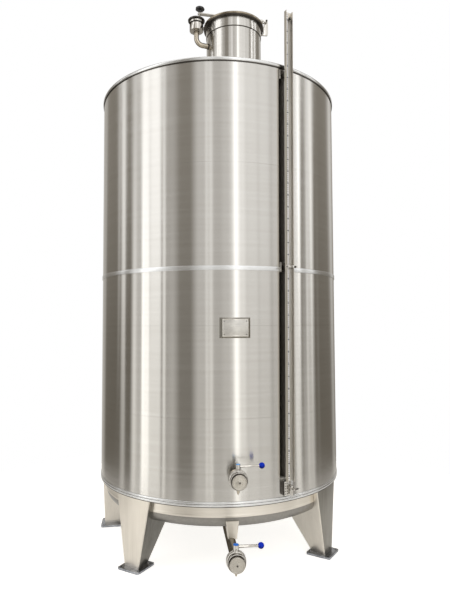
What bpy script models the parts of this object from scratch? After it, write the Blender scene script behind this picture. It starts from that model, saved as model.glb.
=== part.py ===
"""A stainless storage tank on five legs, with a manway, a level gauge and two outlet valves.

Metres, +Z up, with the floor at Z = 0. The valves face -Y. The tank's own axis is set back by
AXIS_Y, so that the origin lies under the middle of the whole object's length and width.
"""
import math

import bmesh
import bpy
from mathutils import Matrix, Vector

# Gaps and facets
GAP = 0.0003
TANK_STEPS = 72
NECK_STEPS = 48
FITTING_STEPS = 32

# The tank's body
TANK_RADIUS = 0.800
SHEET = 0.004
AXIS_Y = 0.1065
RIM_BOTTOM = 0.408
RIM_TOP = 0.436
RIM_PROUD = 0.003
BAND_BOTTOM = 1.705
BAND_TOP = 1.730
BAND_PROUD = 0.0035
SHELL_TOP = 2.900
BEAD_HEIGHT = 0.023
BEAD_RADIUS = 0.806
ROOF_EDGE_RADIUS = 0.7897
ROOF_EDGE_HEIGHT = 2.918
ROOF_SLOPE = math.radians(22)

# Skirt and dished bottom
SKIRT_RADIUS = 0.768
SKIRT_BOTTOM = 0.340
DISH_RADIUS = SKIRT_RADIUS - SHEET - GAP
DISH_TOP = 0.400
KNUCKLE_HEIGHT = 0.335
KNUCKLE_RADIUS = 0.060
KNUCKLE_ANGLE = math.radians(87)
SUMP_RADIUS = 0.070
SUMP_BORE = 0.058
DISH_STEPS = 4
SUMP_BOTTOM = 0.172

# Legs, as azimuths from the front (-Y) towards +X
LEG_TURN = 2.0
LEG_AZIMUTHS = {
    "leg_front_left": -48.0,
    "leg_front_right": 48.0,
    "leg_side_left": -105.0,
    "leg_side_right": 105.0,
    "leg_rear": 180.0,
}
FOOT_SIZE = 0.150
FOOT_CORNER = 0.016
FOOT_THICKNESS = 0.012
FOOT_DISTANCE = 0.757
LEG_SHEET = 0.004
LEG_TOP_HALF = 0.140
LEG_TOP_INNER = 0.405
LEG_TOP_INNER_HALF = 0.035
LEG_FOOT_HALF = 0.060
LEG_FOOT_OUTER = 0.798
LEG_FOOT_INNER = 0.698
LEG_FOOT_INNER_HALF = 0.032

# Manway, off the tank's axis
NECK_X = 0.115
NECK_RADIUS = 0.197
NECK_WALL = 0.003
NECK_BOTTOM = 3.100
COLLAR_BOTTOM = 3.470
FLANGE_BOTTOM = 3.540
FLANGE_TOP = 3.550
FLANGE_RADIUS = 0.218
LID_EDGE_TOP = 3.565
LID_DOME_TOP = 3.608
HINGE_X = 0.243
HINGE_HEIGHT = 3.630
STUD_X = -0.247
STUD_HEIGHT = 3.655
BAR_WIDTH = 0.030
BAR_THICKNESS = 0.008
STUD_RADIUS = 0.006
STUD_REACH = 0.130
KNOB_RADIUS = 0.034
KNOB_NECK = 0.019
LUG_DROP = 0.014
FORK_BOTTOM = 3.540
FORK_THICKNESS = 0.012

# Breather on the manway's neck
BREATHER_X = -0.276
BREATHER_Y = -0.070
BREATHER_PIPE_RADIUS = 0.017
BREATHER_PIPE_HEIGHT = 3.389
BREATHER_BEND = 0.045
BREATHER_CUP_RADIUS = 0.048
BREATHER_CAP_RADIUS = 0.060
BREATHER_CUP_BOTTOM = 3.480
BREATHER_CUP_TOP = 3.556

# Level gauge
GAUGE_AZIMUTH = 22.2
GAUGE_LEAN = math.radians(0.4)
GAUGE_LEAN_HEIGHT = 1.85
CHANNEL_BACK = 0.832
CHANNEL_FRONT = 0.854
CHANNEL_WIDTH = 0.046
CHANNEL_SHEET = 0.002
CHANNEL_BOTTOM = 0.528
CHANNEL_TOP = 3.225
SCALE_OFFSET = -0.010
SCALE_WIDTH = 0.022
TUBE_OFFSET = 0.012
TUBE_RADIUS = 0.006
TUBE_BOTTOM = 0.505
TUBE_TOP = 3.195
COCK_BOTTOM = 0.448
BASE_BOTTOM = 0.447
BASE_TOP = 0.525
BASE_FRONT = 0.826
BASE_WIDTH = 0.056
PAD_WIDTH = 0.070
PAD_HEIGHT = 0.056
ARM_WIDTH = 0.016
ARM_HEIGHT = 0.030

# Label
LABEL_HEIGHT = 1.383
LABEL_WIDTH = 0.173
LABEL_TALL = 0.114
LABEL_DEPTH = 0.016
LABEL_PLATE_WIDTH = 0.138
LABEL_PLATE_TALL = 0.086
LABEL_PLATE_THICKNESS = 0.0015

# Outlet valves
PIPE_RADIUS = 0.026
UNION_RADIUS = 0.043
UNION_DEPTH = 0.012
BODY_RADIUS = 0.051
BODY_DEPTH = 0.034
NUT_RADIUS = 0.048
NUT_DEPTH = 0.024
CAP_RADIUS = 0.041
CAP_DEPTH = 0.020
BONNET_TOP = 0.056
HUB_TOP = 0.083
ROD_HEIGHT = 0.070
HANDLE_REACH = 0.129
BALL_RADIUS = 0.0165
UPPER_HEIGHT = 0.580
UPPER_FACE = 0.950
LOWER_HEIGHT = 0.205
LOWER_FACE = 1.045
DRAIN_AZIMUTH = -1.55

# Bracket that holds the drain pipe
SUPPORT_AZIMUTH = -1.0
SUPPORT_FRONT = 0.766
SUPPORT_TOP = 0.3195
SUPPORT_BOTTOM = 0.2225
SUPPORT_TOP_HALF = 0.0365
SUPPORT_BOTTOM_HALF = 0.0250
SUPPORT_TOP_BACK = 0.600
SUPPORT_BOTTOM_BACK = 0.705

STEEL = (0.62, 0.60, 0.56)


def empty_scene():
    for obj in list(bpy.data.objects):
        bpy.data.objects.remove(obj, do_unlink=True)


def new_collection(name):
    collection = bpy.data.collections.new(name)
    bpy.context.scene.collection.children.link(collection)
    return collection


def new_material(name, colour, roughness, metallic=0.0, transmission=0.0):
    material = bpy.data.materials.new(name)
    material.use_nodes = True
    shader = material.node_tree.nodes["Principled BSDF"]
    shader.inputs["Base Color"].default_value = (*colour, 1.0)
    shader.inputs["Roughness"].default_value = roughness
    shader.inputs["Metallic"].default_value = metallic
    shader.inputs["Transmission Weight"].default_value = transmission
    material.diffuse_color = (*colour, 1.0)
    return material


def new_empty(name, parent=None, location=(0.0, 0.0, 0.0), turn=0.0):
    """An empty to build around. Its turn is an azimuth in degrees, from -Y towards +X."""
    empty = bpy.data.objects.new(name, None)
    parts.objects.link(empty)
    empty.parent = parent
    empty.location = location
    empty.rotation_euler = (0.0, 0.0, math.radians(turn))
    return empty


def new_object(name, data, material, parent, location=(0, 0, 0), rotation=(0, 0, 0)):
    obj = bpy.data.objects.new(name, data)
    parts.objects.link(obj)
    obj.parent = parent
    obj.location = location
    obj.rotation_euler = rotation
    if material is not None:
        data.materials.append(material)
    return obj


def as_cutter(obj):
    """Moves an object to the cutters, which are not pieces of the tank."""
    parts.objects.unlink(obj)
    cutters.objects.link(obj)
    obj.hide_render = True
    obj.display_type = "WIRE"
    return obj


def cut(target, cutter, operation="DIFFERENCE"):
    modifier = target.modifiers.new(f"{operation.title()} {cutter.name}", "BOOLEAN")
    modifier.operation = operation
    modifier.object = cutter
    return target


def join(target, *others):
    for other in others:
        cut(target, as_cutter(other), "UNION")
    return target


def turned(name, profile, material, parent, steps=TANK_STEPS, ring=False, **place):
    """A turned piece. The profile runs down its outer side; a ring's profile closes on itself."""
    mesh = bpy.data.meshes.new(name)
    shape = bmesh.new()
    points = [shape.verts.new((radius, 0.0, height)) for radius, height in profile]
    for start, end in zip(points, points[1:]):
        shape.edges.new((start, end))
    if ring:
        shape.edges.new((points[-1], points[0]))
    shape.to_mesh(mesh)
    shape.free()
    obj = new_object(name, mesh, material, parent, **place)
    screw = obj.modifiers.new("Turn", "SCREW")
    screw.axis = "Z"
    screw.angle = 2 * math.pi
    screw.steps = steps
    screw.render_steps = steps
    screw.use_smooth_shade = True
    screw.use_merge_vertices = True
    screw.merge_threshold = 0.00001
    return obj


def wall_ring(name, outer, inner, bottom, top, material, parent, steps=TANK_STEPS):
    profile = [(outer, top), (outer, bottom), (inner, bottom), (inner, top)]
    return turned(name, profile, material, parent, steps, ring=True)


def cylinder(name, radius, length, material, parent, steps=FITTING_STEPS, **place):
    """A round bar along its own Z, from 0 to its length."""
    mesh = bpy.data.meshes.new(name)
    shape = bmesh.new()
    bmesh.ops.create_cone(
        shape, cap_ends=True, segments=steps, radius1=radius, radius2=radius, depth=length
    )
    bmesh.ops.translate(shape, verts=shape.verts, vec=(0, 0, length / 2))
    shape.to_mesh(mesh)
    shape.free()
    mesh.shade_smooth()
    mesh.set_sharp_from_angle(angle=math.radians(35))
    return new_object(name, mesh, material, parent, **place)


def box(name, low, high, material, parent, **place):
    mesh = bpy.data.meshes.new(name)
    shape = bmesh.new()
    bmesh.ops.create_cube(shape, size=1.0)
    low, high = Vector(low), Vector(high)
    bmesh.ops.scale(shape, verts=shape.verts, vec=high - low)
    bmesh.ops.translate(shape, verts=shape.verts, vec=(low + high) / 2)
    shape.to_mesh(mesh)
    shape.free()
    return new_object(name, mesh, material, parent, **place)


def plate(name, outline, thickness, material, parent, **place):
    """A flat outline in its own XY plane, with its thickness centred on Z = 0, as a mesh."""
    curve = bpy.data.curves.new(name, "CURVE")
    curve.dimensions = "2D"
    curve.fill_mode = "BOTH"
    curve.extrude = thickness / 2
    spline = curve.splines.new("POLY")
    spline.points.add(len(outline) - 1)
    for point, (x, y) in zip(spline.points, outline):
        point.co = (x, y, 0.0, 1.0)
    spline.use_cyclic_u = True
    return curve_to_mesh(name, curve, material, parent, **place)


def rod(name, points, radius, material, parent, **place):
    """A round bar or pipe along a path."""
    curve = bpy.data.curves.new(name, "CURVE")
    curve.dimensions = "3D"
    curve.bevel_depth = radius
    curve.bevel_resolution = 4
    curve.use_fill_caps = True
    spline = curve.splines.new("POLY")
    spline.points.add(len(points) - 1)
    for point, place_along in zip(spline.points, points):
        point.co = (*place_along, 1.0)
    return curve_to_mesh(name, curve, material, parent, **place)


def curve_to_mesh(name, curve, material, parent, **place):
    """Makes a curve into a welded mesh, so that it can be cut or joined."""
    guide = bpy.data.objects.new(name + "_guide", curve)
    parts.objects.link(guide)
    evaluated = guide.evaluated_get(bpy.context.evaluated_depsgraph_get())
    mesh = bpy.data.meshes.new_from_object(evaluated)
    bpy.data.objects.remove(guide)
    shape = bmesh.new()
    shape.from_mesh(mesh)
    bmesh.ops.remove_doubles(shape, verts=shape.verts, dist=0.00001)
    bmesh.ops.recalc_face_normals(shape, faces=shape.faces)
    shape.to_mesh(mesh)
    shape.free()
    mesh.name = name
    return new_object(name, mesh, material, parent, **place)


def arc(centre_x, centre_y, radius, start, end, count):
    """Points on an arc, with its angles in degrees."""
    angles = [math.radians(start + (end - start) * i / count) for i in range(count + 1)]
    return [(centre_x + radius * math.cos(a), centre_y + radius * math.sin(a)) for a in angles]


def rounded_square(size, corner):
    flat = size / 2 - corner
    centres = [(flat, flat), (-flat, flat), (-flat, -flat), (flat, -flat)]
    outline = []
    for index, (x, y) in enumerate(centres):
        outline += arc(x, y, corner, 90 * index, 90 * index + 90, 4)
    return outline


def tapered(name, lower, upper, material, parent):
    """A solid between two level outlines with the same number of corners."""
    mesh = bpy.data.meshes.new(name)
    shape = bmesh.new()
    bottom = [shape.verts.new(corner) for corner in lower]
    top = [shape.verts.new(corner) for corner in upper]
    shape.faces.new(reversed(bottom))
    shape.faces.new(top)
    for index in range(len(bottom)):
        following = (index + 1) % len(bottom)
        shape.faces.new((bottom[index], bottom[following], top[following], top[index]))
    bmesh.ops.triangulate(shape, faces=shape.faces)
    bmesh.ops.recalc_face_normals(shape, faces=shape.faces)
    shape.to_mesh(mesh)
    shape.free()
    return new_object(name, mesh, material, parent)


def dish_profile(offset):
    """The dished bottom's lower face from its rim to the sump, moved outwards by an offset."""
    centre = DISH_RADIUS - KNUCKLE_RADIUS
    radius = KNUCKLE_RADIUS + offset
    points = []
    for step in range(DISH_STEPS + 1):
        angle = KNUCKLE_ANGLE * step / DISH_STEPS
        across = centre + radius * math.cos(angle)
        points.append((across, KNUCKLE_HEIGHT - radius * math.sin(angle)))
    last_radius, last_height = points[-1]
    slope = math.pi / 2 - KNUCKLE_ANGLE
    points.append((SUMP_BORE, last_height - (last_radius - SUMP_BORE) * math.tan(slope)))
    return points


def dish_height(radius):
    """The height of the dish's lower face at a radius inside the knuckle."""
    (outer, outer_height), (inner, inner_height) = dish_profile(0.0)[-2:]
    share = (radius - inner) / (outer - inner)
    return inner_height + share * (outer_height - inner_height)


def make_shell():
    inner = TANK_RADIUS - SHEET
    joint = (BAND_BOTTOM + BAND_TOP) / 2
    wall_ring("shell_lower", TANK_RADIUS, inner, RIM_TOP + GAP, joint - GAP, steel, tank)
    wall_ring("shell_upper", TANK_RADIUS, inner, joint, SHELL_TOP - GAP, steel, tank)
    band_outer = TANK_RADIUS + BAND_PROUD
    band_inner = TANK_RADIUS + GAP
    wall_ring("mid_band", band_outer, band_inner, BAND_BOTTOM, BAND_TOP, steel, tank)

    rim_outer = TANK_RADIUS + RIM_PROUD
    rim_inner = SKIRT_RADIUS - SHEET
    groove = (RIM_BOTTOM + RIM_TOP) / 2
    profile = [
        (rim_outer, RIM_TOP),
        (rim_outer, groove + 0.002),
        (TANK_RADIUS, groove),
        (rim_outer, groove - 0.002),
        (rim_outer, RIM_BOTTOM),
        (rim_inner, RIM_BOTTOM),
        (rim_inner, RIM_TOP),
    ]
    turned("bottom_rim", profile, steel, tank, ring=True)

    middle = SHELL_TOP + BEAD_HEIGHT / 2
    inside = ROOF_EDGE_RADIUS + GAP
    profile = [
        (BEAD_RADIUS - 0.005, SHELL_TOP + BEAD_HEIGHT),
        (BEAD_RADIUS, middle),
        (BEAD_RADIUS - 0.005, SHELL_TOP),
        (inside, SHELL_TOP),
        (inside, SHELL_TOP + BEAD_HEIGHT - 0.003),
    ]
    turned("top_rim", profile, steel, tank, ring=True)


def make_roof():
    rise = ROOF_EDGE_RADIUS * math.tan(ROOF_SLOPE)
    thick = SHEET / math.cos(ROOF_SLOPE)
    profile = [
        (0.0, ROOF_EDGE_HEIGHT + rise),
        (ROOF_EDGE_RADIUS, ROOF_EDGE_HEIGHT),
        (ROOF_EDGE_RADIUS, ROOF_EDGE_HEIGHT - thick),
        (0.0, ROOF_EDGE_HEIGHT + rise - thick),
    ]
    roof = turned("roof", profile, steel, tank)
    hole = cylinder("roof_hole", NECK_RADIUS + GAP, 1.0, None, manway, NECK_STEPS, location=(0, 0, 2.8))
    cut(roof, as_cutter(hole))


def make_bottom():
    inner = SKIRT_RADIUS - SHEET
    wall_ring("skirt_ring", SKIRT_RADIUS, inner, SKIRT_BOTTOM, RIM_BOTTOM - GAP, steel, tank)
    lower = dish_profile(0.0)
    upper = dish_profile(-SHEET)
    profile = [(DISH_RADIUS, DISH_TOP)] + lower + upper[::-1] + [(DISH_RADIUS - SHEET, DISH_TOP)]
    turned("bottom_dish", profile, steel, tank, ring=True)

    sump_top = dish_height(SUMP_RADIUS) - GAP
    floor = SUMP_BOTTOM + 0.006
    profile = [
        (SUMP_RADIUS, sump_top),
        (SUMP_RADIUS, SUMP_BOTTOM),
        (0.0, SUMP_BOTTOM),
        (0.0, floor),
        (SUMP_BORE, floor),
        (SUMP_BORE, dish_height(SUMP_BORE) - GAP),
    ]
    mesh_profile = profile[5:] + profile[:5]
    turned("drain_sump", sump_loop(mesh_profile), steel, tank, FITTING_STEPS)


def sump_loop(points):
    """The sump's section from the axis at its inner floor, over its rim, to the axis below."""
    rim_inner, rim_outer, bottom_outer, bottom_axis, floor_axis, floor_inner = points
    return [floor_axis, floor_inner, rim_inner, rim_outer, bottom_outer, bottom_axis]


def underside_cutter():
    """The space that the skirt and the dish fill, which the legs and the bracket stay out of."""
    dish = dish_profile(GAP)
    profile = [
        (0.0, RIM_BOTTOM + 0.05),
        (SKIRT_RADIUS + GAP, RIM_BOTTOM + 0.05),
        (SKIRT_RADIUS + GAP, SKIRT_BOTTOM - GAP),
        (DISH_RADIUS + GAP, SKIRT_BOTTOM - GAP),
    ]
    profile += dish
    profile.append((0.0, dish[-1][1]))
    return as_cutter(turned("underside_space", profile, None, tank))


def leg_outline(half, outer, inner, inner_half, height, inset):
    """A leg's section from its inner left corner round the outside, pulled in by an inset."""
    return [
        (-inner_half + inset, -inner - inset, height),
        (-half + inset, -outer + inset, height),
        (0.0, -TANK_RADIUS + inset, height),
        (half - inset, -outer + inset, height),
        (inner_half - inset, -inner - inset, height),
    ]


def leg_solid(name, inset, bottom, top, material, parent):
    """A leg tapers from its foot to the rim. Its section at any height follows the same lines."""
    corner_outer = math.sqrt(TANK_RADIUS**2 - LEG_TOP_HALF**2)
    low = (LEG_FOOT_HALF, LEG_FOOT_OUTER, LEG_FOOT_INNER, LEG_FOOT_INNER_HALF)
    high = (LEG_TOP_HALF, corner_outer, LEG_TOP_INNER, LEG_TOP_INNER_HALF)
    outlines = []
    for height in (bottom, top):
        share = (height - FOOT_THICKNESS) / (RIM_BOTTOM - FOOT_THICKNESS)
        section = [start + share * (end - start) for start, end in zip(low, high)]
        outlines.append(leg_outline(*section, height, inset))
    return tapered(name, *outlines, material, parent)


def make_legs(underside):
    for name, azimuth in LEG_AZIMUTHS.items():
        stand = new_empty(name + "_line", tank, turn=azimuth + LEG_TURN)
        leg = leg_solid(name, 0.0, FOOT_THICKNESS / 2, RIM_BOTTOM - GAP, brushed, stand)
        middle = (0.0, -FOOT_DISTANCE, FOOT_THICKNESS / 2)
        outline = rounded_square(FOOT_SIZE, FOOT_CORNER)
        foot = plate(name + "_foot", outline, FOOT_THICKNESS, None, stand, location=middle)
        join(leg, foot)
        cut(leg, underside)
        inside = leg_solid(
            name + "_inside", LEG_SHEET, FOOT_THICKNESS + 0.002, RIM_BOTTOM + 0.02, None, stand
        )
        cut(leg, as_cutter(inside))


def make_manway():
    wall_ring(
        "manway_neck", NECK_RADIUS, NECK_RADIUS - NECK_WALL, NECK_BOTTOM, FLANGE_BOTTOM - GAP,
        steel, manway, NECK_STEPS,
    )
    collar_inner = NECK_RADIUS + GAP
    wall_ring(
        "manway_collar", collar_inner + NECK_WALL, collar_inner, COLLAR_BOTTOM, FLANGE_BOTTOM - GAP,
        steel, manway, NECK_STEPS,
    )
    middle = (FLANGE_BOTTOM + FLANGE_TOP) / 2
    profile = [
        (FLANGE_RADIUS - 0.003, FLANGE_TOP),
        (FLANGE_RADIUS, middle),
        (FLANGE_RADIUS - 0.003, FLANGE_BOTTOM),
        (NECK_RADIUS - NECK_WALL, FLANGE_BOTTOM),
        (NECK_RADIUS - NECK_WALL, FLANGE_TOP),
    ]
    turned("manway_flange", profile, steel, manway, NECK_STEPS, ring=True)


def bar_height(x):
    """The height of the lid bar's middle line, which slopes from its stud down to its hinge."""
    share = (x - HINGE_X) / (STUD_X - HINGE_X)
    return HINGE_HEIGHT + share * (STUD_HEIGHT - HINGE_HEIGHT)


def bar_place():
    tilt = math.atan2(STUD_HEIGHT - HINGE_HEIGHT, HINGE_X - STUD_X)
    return {"location": (HINGE_X, 0.0, HINGE_HEIGHT), "rotation": (0.0, tilt, 0.0)}


def make_lid():
    edge_bottom = FLANGE_TOP + GAP
    dome_edge = 0.188
    boss_radius = 0.016
    boss_top = bar_height(0.0) + BAR_THICKNESS
    sag = LID_DOME_TOP - LID_EDGE_TOP
    curve_radius = (dome_edge**2 + sag**2) / (2 * sag)
    spread = math.asin(dome_edge / curve_radius)

    def dome(radius, angle):
        return radius * math.sin(angle), LID_DOME_TOP - curve_radius + radius * math.cos(angle)

    boss_angle = math.asin(boss_radius / curve_radius)
    steps = 4
    outer = [dome(curve_radius, boss_angle + (spread - boss_angle) * i / steps) for i in range(steps + 1)]
    inner = [dome(curve_radius - NECK_WALL, spread * i / steps) for i in range(steps + 1)]
    profile = [(0.0, boss_top), (boss_radius, boss_top)] + outer
    profile += [
        (FLANGE_RADIUS - 0.002, LID_EDGE_TOP),
        (FLANGE_RADIUS, (LID_EDGE_TOP + edge_bottom) / 2),
        (FLANGE_RADIUS - 0.002, edge_bottom),
        (dome_edge - 0.002, edge_bottom),
    ]
    profile += inner[::-1]
    lid = turned("lid", profile, steel, manway, NECK_STEPS)
    bar_space = box(
        "bar_space", (-0.300, -0.050, -BAR_THICKNESS / 2 - GAP), (-0.150, 0.050, 0.060), None, manway,
        **bar_place(),
    )
    cut(lid, as_cutter(bar_space))


def make_lid_bar():
    tilt = math.atan2(STUD_HEIGHT - HINGE_HEIGHT, HINGE_X - STUD_X)
    length = math.hypot(STUD_HEIGHT - HINGE_HEIGHT, HINGE_X - STUD_X)
    place = bar_place()
    half = BAR_WIDTH / 2
    thick = BAR_THICKNESS / 2
    bar = box("lid_bar", (-length - 0.016, -half, -thick), (-0.024, half, thick), steel, manway, **place)
    ears = [
        box(f"lid_ear_{side}", (-0.060, low, -thick * 1.6), (0.010, low + 0.004, thick * 1.6), None,
            manway, **place)
        for side, low in (("front", -0.0135), ("rear", 0.0095))
    ]
    pin = cylinder(
        "lid_pin", 0.005, 0.034, None, manway, location=(HINGE_X, 0.017, HINGE_HEIGHT),
        rotation=(math.pi / 2, 0, 0),
    )
    join(bar, *ears, pin)
    hole = cylinder(
        "stud_hole", STUD_RADIUS + 0.0005, 0.04, None, manway, rotation=(0.0, tilt, 0.0),
        location=stud_point(-0.02),
    )
    cut(bar, as_cutter(hole))

    seat = NECK_RADIUS + GAP + NECK_WALL + GAP
    under = FLANGE_BOTTOM - GAP - 0.001
    clear_of_flange = FLANGE_RADIUS + 0.003
    lug_front = HINGE_X + 0.013
    outline = [(seat, under - LUG_DROP), (lug_front - 0.006, under - LUG_DROP), (lug_front, under)]
    outline += arc(HINGE_X, HINGE_HEIGHT, 0.013, 0, 180, 8)
    outline += [(clear_of_flange, under + 0.035), (clear_of_flange, under), (seat, under)]
    lug = plate(
        "hinge_lug", outline, 0.010, steel, manway, rotation=(math.pi / 2, 0, 0),
    )
    pin_hole = cylinder(
        "pin_hole", 0.0055, 0.04, None, manway, location=(HINGE_X, 0.02, HINGE_HEIGHT),
        rotation=(math.pi / 2, 0, 0),
    )
    cut(lug, as_cutter(pin_hole))


def stud_point(along):
    """A point on the clamp stud's axis, measured from the bar upwards."""
    tilt = math.atan2(STUD_HEIGHT - HINGE_HEIGHT, HINGE_X - STUD_X)
    return (STUD_X + along * math.sin(tilt), 0.0, STUD_HEIGHT + along * math.cos(tilt))


def make_clamp():
    tilt = math.atan2(STUD_HEIGHT - HINGE_HEIGHT, HINGE_X - STUD_X)
    place = {"location": stud_point(0.0), "rotation": (0.0, tilt, 0.0)}
    knob_bottom = BAR_THICKNESS / 2 + 0.004
    stud = [(0.0, knob_bottom - GAP), (STUD_RADIUS, knob_bottom - GAP)]
    stud += [(STUD_RADIUS, -STUD_REACH), (0.0, -STUD_REACH)]
    turned("clamp_stud", stud, steel, manway, 16, **place)
    rim_bottom = knob_bottom + KNOB_NECK
    profile = [
        (0.0, rim_bottom + 0.021),
        (0.014, rim_bottom + 0.021),
        (KNOB_RADIUS - 0.003, rim_bottom + 0.017),
        (KNOB_RADIUS, rim_bottom + 0.010),
        (KNOB_RADIUS - 0.003, rim_bottom + 0.003),
        (0.014, rim_bottom),
        (0.011, knob_bottom),
        (0.0, knob_bottom),
    ]
    turned("clamp_knob", profile, black, manway, 24, **place)

    reach = stud_point(-STUD_REACH)[0] - 0.016
    flange_side = -(FLANGE_RADIUS + GAP)
    fork = box(
        "clamp_fork", (reach, -0.018, FORK_BOTTOM), (flange_side, 0.018, FORK_BOTTOM + FORK_THICKNESS),
        steel, manway,
    )
    slot_end = reach + 0.030
    slot = box(
        "fork_slot", (reach - 0.05, -0.0085, FORK_BOTTOM - 0.05), (slot_end, 0.0085, FORK_BOTTOM + 0.05),
        None, manway,
    )
    cut(fork, as_cutter(slot))


def make_breather():
    away = Vector((BREATHER_X, BREATHER_Y, 0.0))
    outwards = away.normalized()
    start = outwards * (NECK_RADIUS - 0.004)
    bend_centre = away - outwards * BREATHER_BEND
    path = [Vector((start.x, start.y, BREATHER_PIPE_HEIGHT))]
    steps = 6
    for step in range(steps + 1):
        angle = math.pi / 2 * step / steps
        across = bend_centre + outwards * BREATHER_BEND * math.sin(angle)
        height = BREATHER_PIPE_HEIGHT + BREATHER_BEND * (1 - math.cos(angle))
        path.append(Vector((across.x, across.y, height)))
    path.append(Vector((away.x, away.y, BREATHER_CUP_BOTTOM + 0.008)))
    path[-2].z = min(path[-2].z, path[-1].z - 0.004)
    pipe = rod("breather_pipe", path, BREATHER_PIPE_RADIUS, steel, manway)
    radius = NECK_RADIUS + GAP
    profile = [(0.0, COLLAR_BOTTOM), (radius, COLLAR_BOTTOM), (radius, NECK_BOTTOM), (0.0, NECK_BOTTOM)]
    cut(pipe, as_cutter(turned("neck_space", profile, None, manway, NECK_STEPS)))

    place = {"location": (away.x, away.y, 0.0)}
    socket = BREATHER_PIPE_RADIUS + 0.001
    profile = [
        (0.0, BREATHER_CUP_TOP - GAP),
        (BREATHER_CUP_RADIUS, BREATHER_CUP_TOP - GAP),
        (BREATHER_CUP_RADIUS, BREATHER_CUP_BOTTOM + 0.004),
        (BREATHER_CUP_RADIUS - 0.003, BREATHER_CUP_BOTTOM),
        (socket, BREATHER_CUP_BOTTOM),
        (socket, BREATHER_CUP_BOTTOM + 0.0085),
        (0.0, BREATHER_CUP_BOTTOM + 0.0085),
    ]
    turned("breather_cup", profile, steel, manway, FITTING_STEPS, **place)
    cap_radius = BREATHER_CAP_RADIUS
    profile = [
        (0.0, BREATHER_CUP_TOP + 0.012),
        (cap_radius - 0.012, BREATHER_CUP_TOP + 0.010),
        (cap_radius, BREATHER_CUP_TOP + 0.006),
        (cap_radius, BREATHER_CUP_TOP),
        (0.0, BREATHER_CUP_TOP),
    ]
    turned("breather_cap", profile, steel, manway, FITTING_STEPS, **place)


def make_gauge():
    half = CHANNEL_WIDTH / 2
    inner = half - CHANNEL_SHEET
    web = CHANNEL_BACK + CHANNEL_SHEET
    outline = [
        (-half, -CHANNEL_BACK),
        (-half, -CHANNEL_FRONT),
        (-inner, -CHANNEL_FRONT),
        (-inner, -web),
        (inner, -web),
        (inner, -CHANNEL_FRONT),
        (half, -CHANNEL_FRONT),
        (half, -CHANNEL_BACK),
    ]
    tall = CHANNEL_TOP - CHANNEL_BOTTOM
    middle = (0.0, 0.0, (CHANNEL_TOP + CHANNEL_BOTTOM) / 2)
    plate("gauge_channel", outline, tall, brushed, gauge, location=middle)

    scale_low = (SCALE_OFFSET - SCALE_WIDTH / 2, -web - GAP - 0.0015, CHANNEL_BOTTOM + 0.004)
    scale_high = (SCALE_OFFSET + SCALE_WIDTH / 2, -web - GAP, CHANNEL_TOP - 0.006)
    box("gauge_scale", scale_low, scale_high, white, gauge)
    tube_distance = web + GAP + TUBE_RADIUS
    cylinder(
        "gauge_tube", TUBE_RADIUS, TUBE_TOP - TUBE_BOTTOM, clear, gauge, 16,
        location=(TUBE_OFFSET, -tube_distance, TUBE_BOTTOM),
    )
    make_gauge_bracket("gauge_bracket_top", SHELL_TOP - 0.010 - PAD_HEIGHT / 2, TANK_RADIUS + GAP)
    band_seat = TANK_RADIUS + BAND_PROUD + GAP
    band_middle = (BAND_BOTTOM + BAND_TOP) / 2
    make_gauge_bracket("gauge_bracket_middle", band_middle + 0.010, band_seat)
    clasp = box(
        "gauge_clasp", (-0.034, -CHANNEL_FRONT - 0.0043, band_middle + 0.003),
        (0.034, -CHANNEL_FRONT - GAP, band_middle + 0.017), brushed, gauge,
    )
    bolt_length = CHANNEL_FRONT + 0.010 - band_seat - 0.0045
    bolt = cylinder(
        "clasp_bolt", 0.004, bolt_length, None, gauge, 12, rotation=(math.pi / 2, 0, 0),
        location=(0.0295, -band_seat - 0.0045, band_middle + 0.010),
    )
    join(clasp, bolt)
    make_gauge_base(tube_distance)


def tank_space(proud):
    """The room that the tank takes, with what stands proud of its sheet, for seats that lie on it."""
    name = f"tank_space_{round(proud * 10000)}"
    if name in bpy.data.objects:
        return bpy.data.objects[name]
    radius = TANK_RADIUS + proud + GAP
    profile = [(0.0, SHELL_TOP), (radius, SHELL_TOP), (radius, RIM_BOTTOM), (0.0, RIM_BOTTOM)]
    return as_cutter(turned(name, profile, None, tank))


def make_gauge_bracket(name, height, seat):
    """A pad on the tank with an arm out to the channel's back."""
    half = PAD_HEIGHT / 2
    pad_low = (-PAD_WIDTH / 2, -seat - 0.004, height - half)
    pad = box(name, pad_low, (PAD_WIDTH / 2, -seat + 0.003, height + half), brushed, gauge)
    cut(pad, tank_space(seat - GAP - TANK_RADIUS))
    arm_low = (-ARM_WIDTH / 2, -CHANNEL_BACK + GAP, height - ARM_HEIGHT / 2)
    arm_high = (ARM_WIDTH / 2, -seat - 0.002, height + ARM_HEIGHT / 2)
    join(pad, box(name + "_arm", arm_low, arm_high, None, gauge))


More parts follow.
